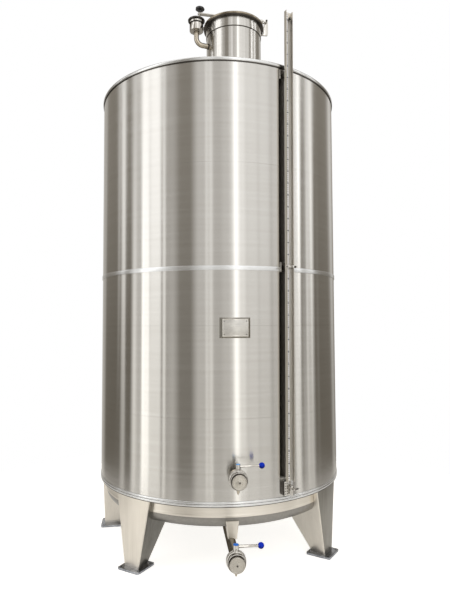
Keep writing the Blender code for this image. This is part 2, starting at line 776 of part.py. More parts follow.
def make_gauge_base(tube_distance):
    half = BASE_WIDTH / 2
    back = TANK_RADIUS - 0.003
    sheet = 0.003
    outline = [
        (-half, -back),
        (-half, -BASE_FRONT),
        (half, -BASE_FRONT),
        (half, -back),
        (half - sheet, -back),
        (half - sheet, -BASE_FRONT + sheet),
        (-half + sheet, -BASE_FRONT + sheet),
        (-half + sheet, -back),
    ]
    middle = (0.0, 0.0, (BASE_BOTTOM + BASE_TOP) / 2)
    base = plate("gauge_base", outline, BASE_TOP - BASE_BOTTOM, brushed, gauge, location=middle)
    cut(base, tank_space(RIM_PROUD))

    branch_height = 0.487
    cock_top = TUBE_BOTTOM - GAP
    profile = [
        (0.0, cock_top),
        (0.0095, cock_top),
        (0.0095, branch_height + 0.008),
        (0.0110, branch_height + 0.006),
        (0.0110, branch_height - 0.010),
        (0.0070, branch_height - 0.014),
        (0.0070, COCK_BOTTOM),
        (0.0, COCK_BOTTOM),
    ]
    centre = (TUBE_OFFSET, -tube_distance, 0.0)
    cock = turned("gauge_cock", profile, steel, gauge, 16, location=centre)
    branch = cylinder(
        "cock_branch", 0.008, tube_distance + 0.014 - BASE_FRONT - GAP, None, gauge, 16,
        location=(TUBE_OFFSET, -BASE_FRONT - GAP, branch_height), rotation=(math.pi / 2, 0, 0),
    )
    join(cock, branch)
    lever_start = tube_distance + 0.014 + GAP
    lever = cylinder(
        "gauge_cock_lever", 0.006, 0.010, steel, gauge, 16,
        location=(TUBE_OFFSET, -lever_start, branch_height), rotation=(math.pi / 2, 0, 0),
    )
    grip = box(
        "lever_grip", (-0.006, -lever_start - 0.009, -0.0045), (0.030, -lever_start - 0.003, 0.0045),
        None, gauge, location=(TUBE_OFFSET, 0.0, branch_height),
    )
    join(lever, grip)


def make_label():
    half_width = LABEL_WIDTH / 2
    half_tall = LABEL_TALL / 2
    back = TANK_RADIUS + GAP
    bevel = 0.007
    front_width = half_width - bevel
    front_tall = half_tall - bevel
    holder = box(
        "label_holder", (-half_width, -back - LABEL_DEPTH, LABEL_HEIGHT - half_tall),
        (half_width, -back + 0.012, LABEL_HEIGHT + half_tall), brushed, tank,
    )
    cut(holder, tank_space(0.0))
    front = -back - LABEL_DEPTH
    for vertex in holder.data.vertices:
        if vertex.co.y < front + 0.001:
            vertex.co.x = math.copysign(front_width, vertex.co.x)
            vertex.co.z = LABEL_HEIGHT + math.copysign(front_tall, vertex.co.z - LABEL_HEIGHT)
    plate_front = front - GAP - LABEL_PLATE_THICKNESS
    box(
        "label_plate",
        (-LABEL_PLATE_WIDTH / 2, plate_front, LABEL_HEIGHT - LABEL_PLATE_TALL / 2),
        (LABEL_PLATE_WIDTH / 2, front - GAP, LABEL_HEIGHT + LABEL_PLATE_TALL / 2),
        steel, tank,
    )


def make_valve(name, line, height, start, face, hub_radius, rod_radius):
    """A closed outlet on a radial line: pipe, valve body, slotted nut, end cap and handle."""
    axis = new_empty(name + "_valve_axis", line, location=(0.0, 0.0, height))
    forwards = {"rotation": (math.pi / 2, 0.0, 0.0)}
    cap_back = face - CAP_DEPTH
    nut_back = cap_back - NUT_DEPTH
    body_back = nut_back - BODY_DEPTH
    pipe_end = body_back - GAP
    profile = [
        (0.0, pipe_end),
        (UNION_RADIUS, pipe_end),
        (UNION_RADIUS, pipe_end - UNION_DEPTH),
        (PIPE_RADIUS, pipe_end - UNION_DEPTH),
        (PIPE_RADIUS, start),
        (0.0, start),
    ]
    turned(name + "_outlet_pipe", profile, steel, axis, FITTING_STEPS, **forwards)

    chamfer = 0.004
    profile = [
        (0.0, nut_back - GAP),
        (BODY_RADIUS - chamfer, nut_back - GAP),
        (BODY_RADIUS, nut_back - GAP - chamfer),
        (BODY_RADIUS, body_back + chamfer),
        (BODY_RADIUS - chamfer, body_back),
        (0.0, body_back),
    ]
    body = turned(name + "_valve_body", profile, steel, axis, FITTING_STEPS, **forwards)
    stem = (body_back + nut_back) / 2
    bonnet = cylinder(
        name + "_bonnet", hub_radius - 0.001, BONNET_TOP, None, axis, location=(0.0, -stem, 0.0)
    )
    nub = turned(
        name + "_nub", [(0.0, -0.040), (0.0095, -0.040), (0.0095, -0.056), (0.003, -0.078), (0.0, -0.078)],
        None, axis, 16, location=(0.0, -stem, 0.0),
    )
    join(body, bonnet, nub)

    profile = [
        (0.0, cap_back - GAP),
        (NUT_RADIUS - 0.003, cap_back - GAP),
        (NUT_RADIUS, cap_back - GAP - 0.003),
        (NUT_RADIUS, nut_back + 0.002),
        (NUT_RADIUS - 0.003, nut_back - 0.001),
        (0.0, nut_back - 0.001),
    ]
    nut = turned(name + "_valve_nut", profile, None, axis, FITTING_STEPS, **forwards)
    join(body, nut)
    boss = 0.0055
    profile = [
        (0.0, face + 0.003),
        (boss, face + 0.003),
        (boss, face),
        (CAP_RADIUS - 0.004, face),
        (CAP_RADIUS, face - 0.004),
        (CAP_RADIUS, cap_back),
        (0.0, cap_back),
    ]
    turned(name + "_end_cap", profile, brushed, axis, FITTING_STEPS, **forwards)

    stem_axis = new_empty(name + "_handle_axis", axis, location=(0.0, -stem, 0.0))
    bottom = BONNET_TOP + GAP
    hub = cylinder(
        name + "_valve_handle", hub_radius, HUB_TOP - bottom, steel, stem_axis, location=(0, 0, bottom)
    )
    ball_side = HANDLE_REACH - BALL_RADIUS
    grip = rod(
        name + "_rod", [(0.0, 0.0, ROD_HEIGHT), (ball_side - GAP, 0.0, ROD_HEIGHT)], rod_radius, None,
        stem_axis,
    )
    join(hub, grip)
    profile = [(0.0, BALL_RADIUS)]
    for step in range(1, 9):
        angle = math.radians(90 - 20 * step)
        profile.append((BALL_RADIUS * math.cos(angle), BALL_RADIUS * math.sin(angle)))
    flat = profile[-1][1]
    profile.append((0.0, flat))
    shift = -BALL_RADIUS - flat
    turned(
        name + "_handle_ball", profile, blue, stem_axis, 20,
        location=(HANDLE_REACH + shift, 0.0, ROD_HEIGHT), rotation=(0.0, math.pi / 2, 0.0),
    )


def make_drain_support(underside):
    """A tapered folded bracket that hangs from the dish and sits on the drain pipe."""
    back_low, back_high = SUPPORT_BOTTOM_BACK, SUPPORT_TOP_BACK

    def section(half, back, height):
        return [
            (-half, -back, height),
            (-half, -SUPPORT_FRONT, height),
            (half, -SUPPORT_FRONT, height),
            (half, -back, height),
        ]

    lower = section(SUPPORT_BOTTOM_HALF, back_low, SUPPORT_BOTTOM)
    upper = section(SUPPORT_TOP_HALF, back_high, SUPPORT_TOP)
    support = tapered("drain_support", lower, upper, brushed, bracket)
    cut(support, underside)
    inner_low = section(SUPPORT_BOTTOM_HALF - SHEET, back_low - 0.2, SUPPORT_BOTTOM)
    inner_high = section(SUPPORT_TOP_HALF - SHEET, back_high - 0.2, SUPPORT_TOP)
    inside = tapered("support_inside", inner_low, inner_high, None, bracket)
    inside.location = (0.0, SHEET, 0.0)
    cut(support, as_cutter(inside))
    pipe_space = cylinder(
        "pipe_space", PIPE_RADIUS + GAP, 1.0, None, drain, rotation=(math.pi / 2, 0, 0),
        location=(0.0, -0.2, LOWER_HEIGHT),
    )
    cut(support, as_cutter(pipe_space))


empty_scene()
parts = new_collection("storage_tank")
cutters = new_collection("cutters")

steel = new_material("polished steel", STEEL, 0.25, 1.0)
brushed = new_material("brushed steel", (0.58, 0.55, 0.50), 0.40, 1.0)
black = new_material("black plastic", (0.02, 0.02, 0.022), 0.35)
blue = new_material("blue plastic", (0.005, 0.03, 0.62), 0.15)
white = new_material("white scale", (0.80, 0.80, 0.82), 0.45)
clear = new_material("clear tube", (0.90, 0.92, 0.93), 0.10, transmission=0.9)

tank = new_empty("tank_axis", location=(0.0, AXIS_Y, 0.0))
manway = new_empty("manway_axis", tank, location=(NECK_X, 0.0, 0.0))
gauge_turn = new_empty("gauge_line", tank, turn=GAUGE_AZIMUTH)
gauge = new_empty(
    "gauge_lean", gauge_turn, location=(-GAUGE_LEAN_HEIGHT * math.sin(GAUGE_LEAN), 0.0, 0.0)
)
gauge.rotation_euler = (0.0, GAUGE_LEAN, 0.0)
drain = new_empty("drain_line", tank, turn=DRAIN_AZIMUTH)
bracket = new_empty("bracket_line", tank, turn=SUPPORT_AZIMUTH)
front = new_empty("front_line", tank)

make_shell()
make_roof()
make_bottom()
underside_space = underside_cutter()
make_legs(underside_space)
make_manway()
make_lid()
make_lid_bar()
make_clamp()
make_breather()
make_gauge()
make_label()
make_valve("upper", front, UPPER_HEIGHT, TANK_RADIUS + GAP, UPPER_FACE, 0.0115, 0.0060)
make_valve("lower", drain, LOWER_HEIGHT, SUMP_RADIUS + GAP, LOWER_FACE, 0.0150, 0.0080)
make_drain_support(underside_space)
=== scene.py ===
import math

import bmesh
import bpy
from mathutils import Matrix, Vector


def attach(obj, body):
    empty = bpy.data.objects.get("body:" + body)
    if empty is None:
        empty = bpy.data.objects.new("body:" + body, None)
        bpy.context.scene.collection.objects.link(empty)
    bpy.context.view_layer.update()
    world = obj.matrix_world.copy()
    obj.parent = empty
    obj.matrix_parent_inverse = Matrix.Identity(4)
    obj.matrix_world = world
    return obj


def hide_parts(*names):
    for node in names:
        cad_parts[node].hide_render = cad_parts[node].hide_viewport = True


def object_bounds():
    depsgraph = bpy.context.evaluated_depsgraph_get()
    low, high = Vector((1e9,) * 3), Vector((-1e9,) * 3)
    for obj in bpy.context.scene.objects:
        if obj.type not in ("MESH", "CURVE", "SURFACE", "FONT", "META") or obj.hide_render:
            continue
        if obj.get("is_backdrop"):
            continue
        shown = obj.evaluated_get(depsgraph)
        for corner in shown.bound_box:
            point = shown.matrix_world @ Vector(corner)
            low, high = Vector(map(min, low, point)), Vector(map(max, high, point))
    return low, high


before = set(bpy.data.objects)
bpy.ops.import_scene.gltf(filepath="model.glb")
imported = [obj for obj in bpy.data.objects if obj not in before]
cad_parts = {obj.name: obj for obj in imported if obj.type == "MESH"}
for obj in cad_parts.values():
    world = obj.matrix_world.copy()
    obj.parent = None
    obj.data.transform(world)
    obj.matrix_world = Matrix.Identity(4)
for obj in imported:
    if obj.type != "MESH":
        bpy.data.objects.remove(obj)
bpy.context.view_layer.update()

# The part's measures in metres, and its azimuths in degrees from -Y towards +X
GAP = 0.0003
AXIS_Y = 0.1065
TANK_RADIUS = 0.800
SHEET = 0.004
RIM_BOTTOM = 0.408
RIM_TOP = 0.436
RIM_RADIUS = 0.803
BAND_BOTTOM = 1.705
BAND_TOP = 1.730
BAND_MIDDLE = (BAND_BOTTOM + BAND_TOP) / 2
BAND_RADIUS = 0.8035
SHELL_TOP = 2.900
BEAD_HEIGHT = 0.023
BEAD_RADIUS = 0.806
ROOF_EDGE_RADIUS = 0.7897
ROOF_EDGE_HEIGHT = 2.918
ROOF_SLOPE = math.radians(22)
SKIRT_RADIUS = 0.768
SKIRT_BOTTOM = 0.340
DISH_RADIUS = 0.7637
DISH_TOP = 0.400
DISH_HOLE = 0.058
KNUCKLE_HEIGHT = 0.335
KNUCKLE_RADIUS = 0.060
KNUCKLE_ANGLE = math.radians(87)
DISH_SLOPE = math.tan(math.pi / 2 - KNUCKLE_ANGLE)
SUMP_RADIUS = 0.070
SUMP_BOTTOM = 0.172
NECK_X = 0.115
NECK_RADIUS = 0.197
NECK_WALL = 0.003
NECK_BOTTOM = 3.100
COLLAR_BOTTOM = 3.470
FLANGE_BOTTOM = 3.540
FLANGE_TOP = 3.550
FLANGE_RADIUS = 0.218
LID_EDGE_TOP = 3.565
LID_DOME_TOP = 3.608
LID_DOME_RADIUS = 0.188
LID_BOSS_RADIUS = 0.016
HINGE_X = 0.243
HINGE_HEIGHT = 3.630
STUD_X = -0.247
STUD_HEIGHT = 3.655
STUD_REACH = 0.130
STUD_RADIUS = 0.006
KNOB_NECK = 0.019
KNOB_LOBES = 7
LOBE_DEPTH = 0.0022
LUG_DROP = 0.014
BAR_WIDTH = 0.030
BAR_THICKNESS = 0.008
BAR_TILT = math.atan2(STUD_HEIGHT - HINGE_HEIGHT, HINGE_X - STUD_X)
BREATHER_X = -0.276
BREATHER_Y = -0.070
PIPE_HEIGHT = 3.389
PIPE_BEND = 0.045
BREATHER_PIPE = 0.017
CUP_RADIUS = 0.048
CUP_BOTTOM = 3.480
CUP_TOP = 3.556
BREATHER_CAP = 0.060
GAUGE_AZIMUTH = 22.2
GAUGE_LEAN = math.radians(0.4)
GAUGE_LEAN_HEIGHT = 1.85
CHANNEL_BACK = 0.832
CHANNEL_FRONT = 0.854
CHANNEL_WIDTH = 0.046
CHANNEL_SHEET = 0.002
CHANNEL_BOTTOM = 0.528
CHANNEL_TOP = 3.225
SCALE_OFFSET = -0.010
SCALE_WIDTH = 0.022
SCALE_THICKNESS = 0.0015
SCALE_DARK_SHARE = 0.44
TUBE_OFFSET = 0.012
TUBE_RADIUS = 0.006
TUBE_BOTTOM = 0.505
TUBE_TOP = 3.195
BASE_BOTTOM = 0.447
BASE_TOP = 0.525
BASE_FRONT = 0.826
BASE_WIDTH = 0.056
BASE_SHEET = 0.003
PAD_WIDTH = 0.070
PAD_HEIGHT = 0.056
BRANCH_HEIGHT = 0.487
COCK_BOTTOM = 0.448
LABEL_HEIGHT = 1.383
LABEL_WIDTH = 0.173
LABEL_TALL = 0.114
LABEL_DEPTH = 0.016
LABEL_SIDE_BEVEL = 0.014
LABEL_TALL_BEVEL = 0.009
PLATE_WIDTH = 0.143
PLATE_TALL = 0.092
PLATE_THICKNESS = 0.0012
PLATE_EDGE = 0.0035
PLATE_SCREW_INSET = 0.009
OUTLET_RADIUS = 0.026
UNION_RADIUS = 0.043
BODY_RADIUS = 0.051
NUT_RADIUS = 0.048
CAP_RADIUS = 0.041
CAP_DEPTH = 0.020
NUT_DEPTH = 0.024
NUT_SLOTS = 8
BODY_DEPTH = 0.034
BONNET_TOP = 0.056
HUB_TOP = 0.083
ROD_HEIGHT = 0.070
HANDLE_REACH = 0.129
BALL_RADIUS = 0.0165
OUTLET_HEIGHT = 0.580
OUTLET_FACE = 0.950
DRAIN_AZIMUTH = -1.55
DRAIN_HEIGHT = 0.205
DRAIN_FACE = 1.045
FOOT_SIZE = 0.155
FOOT_THICKNESS = 0.012
FOOT_CORNER = 0.016
FOOT_HOLES = ((-0.060, -0.060), (0.060, -0.060), (-0.060, 0.055), (0.060, 0.055))
FOOT_HOLE_RADIUS = 0.0055
FOOT_DISTANCE = 0.760
FOOT_TURNS = {"front_left": 9.0, "side_left": 14.0}
LEG_SHEET = 0.004
LEG_AZIMUTHS = {"front_left": -46.0, "front_right": 50.0, "side_left": -103.0, "side_right": 107.0, "rear": 182.0}
LEG_TOP_HALF = 0.140
LEG_TOP_INNER = 0.405
LEG_TOP_INNER_HALF = 0.035
LEG_FOOT_HALF = 0.060
LEG_FOOT_OUTER = 0.798
LEG_FOOT_INNER = 0.698
LEG_FOOT_INNER_HALF = 0.032
SUPPORT_AZIMUTH = -1.0
SUPPORT_FRONT = 0.766
SUPPORT_TOP = 0.3195
SUPPORT_BOTTOM = 0.2225
SUPPORT_TOP_HALF = 0.0365
SUPPORT_BOTTOM_HALF = 0.0250
SUPPORT_TOP_BACK = 0.600
SUPPORT_BOTTOM_BACK = 0.705

# How finely round pieces are turned
TANK_STEPS = 240
DISH_STEPS = 192
MANWAY_STEPS = 144
ROUND_STEPS = 96
VALVE_STEPS = 72

BRUSHED = "brushed_steel"
POLISHED = "polished_steel"

# Looks
WARM = (0.86, 0.82, 0.75)
WARM_DARK = (0.75, 0.71, 0.64)
SEAM_COLOUR = (0.20, 0.19, 0.17)
SHELL_SEAMS = ((1.395, 0.16), (0.883, 0.20), (2.318, 0.18))  # height, depth of the tone
SEAM_HALF_WIDTH = 0.0012
# Painted shade along edges: steels with an outline darken where they turn away from the view
EDGE_SHADE_COLOUR = (0.035, 0.030, 0.024)
EDGE_SHADE_TINT = (0.25, 0.22, 0.18)
EDGE_SHADE_BLEND = 0.35
INK = (0.035, 0.045, 0.10)
SHADED_LEGS = ("front_left", "front_right", "side_left")

# Camera, studio and floor
CAMERA_PLACE = (-0.4103, -3.5277, 1.396)
CAMERA_ANGLES = (92.826, 0.215, -7.13)
CAMERA_LENS = 30.9624
CAMERA_SENSOR = 36.0
ROOM_STRENGTH = 4.0
LOW_LEVEL = math.sin(math.radians(-12))
HIGH_LEVEL = math.sin(math.radians(24))
OVERHEAD_START = 0.75
OVERHEAD_STRENGTH = 6.0
MAX_STOPS = 32
STUDIO_LOW = 0.19
STUDIO_HIGH = 0.31
DIM_TINT = (1.0, 0.91, 0.78)
TINT_STOPS = ((0.30, (0.92, 0.895, 0.84, 1.0)), (0.62, (1.0, 1.0, 1.0, 1.0)))
# Each softbox is an upright strip at an azimuth. It has one strength near the floor and another
# near the ceiling.
SOFTBOXES = (
    # azimuth, half width, soft edge, low strength, high strength
    (-157, 4.0, 6.0, 0.25, 0.15),
    (-149, 2.0, 3.0, 0.05, 0.20),
    (-116, 1.0, 2.0, 0.00, 0.62),
    (-109, 1.0, 3.0, 0.42, 1.25),
    (-106, 0.5, 1.5, 0.35, 0.50),
    (-92, 1.0, 4.0, 1.00, 0.80),
    (-84.5, 3.0, 2.0, 0.55, 0.46),
    (-78, 3.5, 2.0, 1.60, 1.40),
    (-67, 5.0, 1.5, 0.95, 1.35),
    (-58, 0.7, 1.2, 0.95, 0.95),
    (-51.5, 2.0, 7.0, 0.40, 0.25),
    (-41, 8.0, 7.0, 0.10, 0.03),
    (-22.5, 2.5, 7.0, 0.55, 0.50),
    (-15, 2.7, 1.5, 0.52, 0.50),
    (-5, 7.5, 3.0, 0.48, 0.41),
    (4, 5.0, 4.0, 0.10, 0.12),
    (8.3, 1.8, 4.0, 0.75, 0.75),
    (13, 3.4, 3.6, 0.95, 0.97),
    (25, 4.0, 5.6, 0.75, 0.83),
    (37.3, 3.3, 3.4, 0.66, 0.80),
    (51.5, 5.6, 5.6, 0.52, 0.66),
    (72, 2.6, 2.0, 0.97, 0.90),
    (75.7, 0.6, 1.7, 0.00, 2.20),
    (82.5, 2.7, 2.1, 0.36, 0.05),
    (88.8, 4.0, 1.2, 0.52, 0.80),
    (93.6, 1.6, 1.6, 0.20, 0.95),
    (102, 0.6, 2.2, 0.08, 0.05),
    (134, 3.4, 5.0, 0.00, 0.28),
    (141, 4.0, 6.0, 0.25, 0.32),
    (178, 12.0, 16.0, 0.35, 0.35),
)
FLOOR_RADIUS = 2.6
FLOOR_FADE_START = 1.1
FLOOR_DROP = 0.0006
FLOOR_GLOW = 0.78
FLOOR_GLOW_REFLECTED = 0.30


def moved(x=0.0, y=0.0, z=0.0):
    return Matrix.Translation((x, y, z))


def turned(degrees, axis="Z"):
    return Matrix.Rotation(math.radians(degrees), 4, axis)


TANK = moved(0.0, AXIS_Y, 0.0)
MANWAY = TANK @ moved(NECK_X)
BREATHER = MANWAY @ moved(BREATHER_X, BREATHER_Y)
LID_BAR = MANWAY @ moved(HINGE_X, 0.0, HINGE_HEIGHT) @ Matrix.Rotation(BAR_TILT, 4, "Y")
STUD = MANWAY @ moved(STUD_X, 0.0, STUD_HEIGHT) @ Matrix.Rotation(BAR_TILT, 4, "Y")
GAUGE_SHIFT = moved(-GAUGE_LEAN_HEIGHT * math.sin(GAUGE_LEAN))
GAUGE = TANK @ turned(GAUGE_AZIMUTH) @ GAUGE_SHIFT @ Matrix.Rotation(GAUGE_LEAN, 4, "Y")
FORWARDS = turned(90, "X")


# ------------ materials
class Nodes:
    """The node tree of a material or a world, with short calls for the nodes that are used here."""

    def __init__(self, owner):
        self.owner = owner
        owner.use_nodes = True
        self.tree = owner.node_tree
        self.shader = self.tree.nodes.get("Principled BSDF")
        self.place = None

    def feed(self, socket, value):
        """Sets a socket to a number, a vector or a colour, or links another socket to it."""
        if isinstance(value, tuple):
            socket.default_value = (*value, 1.0) if socket.type == "RGBA" else value
        elif isinstance(value, (int, float)):
            socket.default_value = value
        else:
            self.tree.links.new(value, socket)

    def add(self, kind, *values, **settings):
        """A new node with its settings. The values feed its first inputs, where they aren't None."""
        node = self.tree.nodes.new(kind)
        for key, value in settings.items():
            setattr(node, key, value)
        for socket, value in zip(node.inputs, values):
            if value is not None:
                self.feed(socket, value)
        return node

    def coordinates(self):
        if self.place is None:
            self.place = self.add("ShaderNodeTexCoord").outputs["Object"]
        return self.place

    def axes(self, vector):
        return self.add("ShaderNodeSeparateXYZ", vector).outputs

    def math(self, operation, first, second=0.0, third=0.0, clamp=False):
        return self.add("ShaderNodeMath", first, second, third, operation=operation, use_clamp=clamp).outputs[0]

    def noise(self, scale, detail=2.0, roughness=0.5, shift=(0.0, 0.0, 0.0)):
        scale = scale if isinstance(scale, tuple) else (scale,) * 3
        mapping = self.add("ShaderNodeMapping", self.coordinates(), shift, None, scale)
        node = self.add("ShaderNodeTexNoise", mapping.outputs[0])
        for name, value in (("Scale", 1.0), ("Detail", detail), ("Roughness", roughness)):
            node.inputs[name].default_value = value
        return node.outputs["Fac"]

    def spread(self, value, low, high, start=0.3, end=0.7):
        """Carries a value between start and end over to low and high."""
        return self.add("ShaderNodeMapRange", value, start, end, low, high).outputs["Result"]

    def mix(self, share, first, second, **settings):
        node = self.add("ShaderNodeMix", share, data_type="RGBA", **settings)
        self.feed(node.inputs[6], first)
        self.feed(node.inputs[7], second)
        return node.outputs[2]

    def bump(self, height, distance, strength=1.0, before=None):
        node = self.add("ShaderNodeBump")
        for name, value in (("Strength", strength), ("Distance", distance), ("Height", height), ("Normal", before)):
            if value is not None:
                self.feed(node.inputs[name], value)
        return node.outputs["Normal"]

    def set(self, **values):
        """Feeds the shader's inputs by their names, and gives the material back."""
        for key, value in values.items():
            self.feed(self.shader.inputs[key.replace("_", " ")], value)
        return self.owner


def material_nodes(name):
    return Nodes(bpy.data.materials.new(name))


def metal(
    name, light, dark, smooth, rough, grain=90.0, bands=None, cloud=1.5, dents=0.0,
    anisotropy=0.0, turn=0.0, tangent=None, seams=(), outline=0.0,
):
    """Steel with its grain: the colour and the roughness vary along fine lines, bands and clouds.

    An outline above 0 darkens the steel where it turns away from the view: painted shade along its edges.
    """
    nodes = material_nodes(name)
    grain = nodes.noise(grain, 3.0, 0.7)
    clouds = nodes.noise(cloud, 3.0, 0.55, (3.1, 1.7, 0.4))
    share = nodes.math("ADD", nodes.spread(grain, 0.0, 0.5), nodes.spread(clouds, 0.0, 0.5), clamp=True)
    if bands:
        lines = nodes.noise(bands, 2.0, 0.6, (0.3, 5.2, 1.9))
        share = nodes.math("MULTIPLY_ADD", nodes.spread(lines, -0.25, 0.25), 1.0, share, clamp=True)
    colour = nodes.mix(share, dark, light)
    for height, depth in seams:
        away = nodes.math("ABSOLUTE", nodes.math("SUBTRACT", nodes.axes(nodes.coordinates())[2], height))
        on_seam = nodes.math("LESS_THAN", away, SEAM_HALF_WIDTH)
        colour = nodes.mix(nodes.math("MULTIPLY", on_seam, depth), colour, SEAM_COLOUR)
    # Painted shade: the colour and the specular tint go dark where the steel turns away from the view
    if outline:
        facing = nodes.add("ShaderNodeLayerWeight", EDGE_SHADE_BLEND).outputs["Facing"]
        colour = nodes.mix(nodes.spread(facing, 0.0, outline, 0.25, 0.85), colour, EDGE_SHADE_COLOUR)
        nodes.set(Specular_Tint=EDGE_SHADE_TINT)
    normal = nodes.bump(grain, 0.00001, 0.6)
    if dents:
        normal = nodes.bump(nodes.noise((2.6, 2.6, 1.1), 1.0, 0.4, (7.0, 2.0, 5.0)), dents, 1.0, normal)
    if tangent:
        nodes.set(Tangent=nodes.add("ShaderNodeTangent", direction_type="RADIAL", axis=tangent).outputs[0])
    return nodes.set(
        Base_Color=colour, Metallic=1.0, Roughness=nodes.spread(share, smooth, rough, 0.0, 1.0),
        Normal=normal, Anisotropic=anisotropy, Anisotropic_Rotation=turn,
    )


def plastic(name, colour, darker, rough, coat=0.0, scale=60.0, shade=None):
    """A coloured plastic. A shade is a darker colour painted onto what faces down: painted shade."""
    nodes = material_nodes(name)
    mottle = nodes.noise(scale, 3.0, 0.6)
    tone = nodes.mix(nodes.spread(mottle, 0.0, 1.0), darker, colour)
    # Painted shade: the colour darkens from what faces up to what faces down
    if shade:
        upwards = nodes.axes(nodes.add("ShaderNodeNewGeometry").outputs["Normal"])[2]
        tone = nodes.mix(nodes.spread(upwards, 0.0, 1.0, -0.65, 0.35), shade, tone)
        nodes.set(Specular_IOR_Level=0.16)
    return nodes.set(
        Base_Color=tone, Roughness=nodes.spread(mottle, rough * 0.85, rough * 1.15),
        Normal=nodes.bump(mottle, 0.00002, 0.5), Coat_Weight=coat, Coat_Roughness=0.05,
    )


shell_steel = metal(
    "shell_brushed_steel", (0.63, 0.625, 0.61), (0.58, 0.57, 0.55), 0.14, 0.18, (3.0, 3.0, 300.0),
    (1.2, 1.2, 45.0), (1.4, 1.4, 1.0), 0.0003, 1.0, 0.25, "Z", SHELL_SEAMS,
)
rim_steel = metal("rim_polished_steel", (0.84, 0.86, 0.88), (0.66, 0.67, 0.68), 0.16, 0.26, (30.0, 30.0, 200.0))
skirt_steel = metal(
    "skirt_satin_steel", WARM, WARM_DARK, 0.30, 0.40, (4.0, 4.0, 260.0), (2.0, 2.0, 40.0),
    anisotropy=0.7, turn=0.25, tangent="Z",
)
# The dish's steel is far darker than the shell's: painted shade on the tank's underside
dish_steel = metal("dish_dull_shaded_steel", (0.36, 0.35, 0.33), (0.25, 0.24, 0.225), 0.30, 0.44, 60.0)
neck_steel = metal(
    "neck_brushed_steel", (0.68, 0.675, 0.66), (0.62, 0.61, 0.59), 0.14, 0.19, (6.0, 6.0, 320.0),
    (3.0, 3.0, 60.0), (4.0, 4.0, 3.0), 0.0002, 1.0, 0.25, "Z",
)
roof_steel = metal(
    "roof_brushed_steel", (0.64, 0.62, 0.58), (0.56, 0.54, 0.50), 0.24, 0.34, (50.0, 3.0, 3.0), (12.0, 1.2, 1.2),
)
leg_steel = metal(
    "leg_satin_steel", WARM, WARM_DARK, 0.34, 0.46, (160.0, 160.0, 5.0), (25.0, 25.0, 2.0), (6.0, 6.0, 5.0), 0.0006,
)
# A darker steel for faces in shade: painted shade on the legs' and the label tray's side faces
leg_shade_steel = metal(
    "leg_shade_steel", (0.35, 0.34, 0.31), (0.19, 0.18, 0.16), 0.26, 0.36, (160.0, 160.0, 5.0), (25.0, 25.0, 2.0),
    (3.0, 3.0, 4.0), 0.0006,
)
# A darker steel for the line along the legs' folds: painted shade
leg_fold_shade_steel = metal("leg_fold_shade_steel", (0.40, 0.375, 0.34), (0.30, 0.28, 0.25), 0.34, 0.46, (160.0, 160.0, 5.0))
weld_steel = metal("weld_steel", (0.92, 0.90, 0.87), (0.70, 0.68, 0.65), 0.35, 0.50, 60.0)
foot_steel = metal("foot_polished_steel", (0.62, 0.65, 0.71), (0.14, 0.15, 0.17), 0.14, 0.26, 60.0, cloud=16.0)
# The fittings' steels below darken at their edges: painted shade
bright_steel = metal(
    "fitting_polished_steel", (0.78, 0.77, 0.75), (0.60, 0.58, 0.54), 0.08, 0.16, 120.0, cloud=14.0, outline=0.95,
)
satin_steel = metal(
    "fitting_satin_steel", (0.66, 0.64, 0.59), (0.54, 0.52, 0.47), 0.24, 0.34, 220.0, cloud=18.0, outline=0.9,
)
disc_steel = metal(
    "end_disc_steel", (0.56, 0.535, 0.49), (0.42, 0.40, 0.36), 0.22, 0.34, 220.0, cloud=(30.0, 30.0, 12.0), outline=0.6,
)
gold_steel = metal(
    "elbow_warm_steel", (0.66, 0.61, 0.52), (0.46, 0.41, 0.33), 0.14, 0.24, 80.0, cloud=20.0, outline=0.95,
)
# Steel darkened to stand for shade: painted shade for shadow lines, recesses and shaded faces, and also the colour of
# the screws, nuts and caps
dark_steel = metal("shaded_steel", (0.12, 0.11, 0.10), (0.055, 0.050, 0.045), 0.28, 0.42)
channel_steel = metal(
    "channel_steel", (0.74, 0.70, 0.63), (0.62, 0.59, 0.53), 0.26, 0.36, (300.0, 300.0, 6.0), cloud=(8.0, 8.0, 2.0),
)
# A darker warm steel for the lid's edge ring: painted shade
edge_steel = metal("lid_edge_steel", (0.42, 0.37, 0.29), (0.28, 0.245, 0.19), 0.16, 0.28)
black = plastic("knob_black_plastic", (0.020, 0.020, 0.022), (0.010, 0.010, 0.011), 0.30, 0.3)
# The blue plastics darken on what faces down: painted shade
blue = plastic(
    "grip_blue_plastic", (0.001, 0.034, 0.60), (0.001, 0.024, 0.48), 0.24, scale=30.0, shade=(0.0005, 0.004, 0.10),
)
cap_blue = plastic(
    "cap_bright_blue", (0.010, 0.20, 0.82), (0.006, 0.13, 0.62), 0.24, scale=40.0, shade=(0.001, 0.02, 0.25),
)
pale_blue = plastic(
    "cap_pale_blue", (0.16, 0.44, 0.88), (0.10, 0.32, 0.72), 0.25, scale=40.0, shade=(0.02, 0.12, 0.40),
)


# ------------ shapes
def fillet(profile, steps=3):
    """Rounds the corners of a closed profile. A point's third number is its corner's radius."""
    rounded = []
    count = len(profile)
    for index, point in enumerate(profile):
        here = Vector(point[:2])
        radius = point[2] if len(point) > 2 else 0.0
        if not radius:
            rounded.append(here)
            continue
        back = Vector(profile[index - 1][:2]) - here
        ahead = Vector(profile[(index + 1) % count][:2]) - here
        reach = min(radius, back.length * 0.45, ahead.length * 0.45)
        start = here + back.normalized() * reach
        end = here + ahead.normalized() * reach
        for step in range(steps + 1):
            share = step / steps
            rounded.append(start * (1 - share) ** 2 + here * 2 * share * (1 - share) + end * share**2)
    return [(point.x, point.y) for point in rounded]


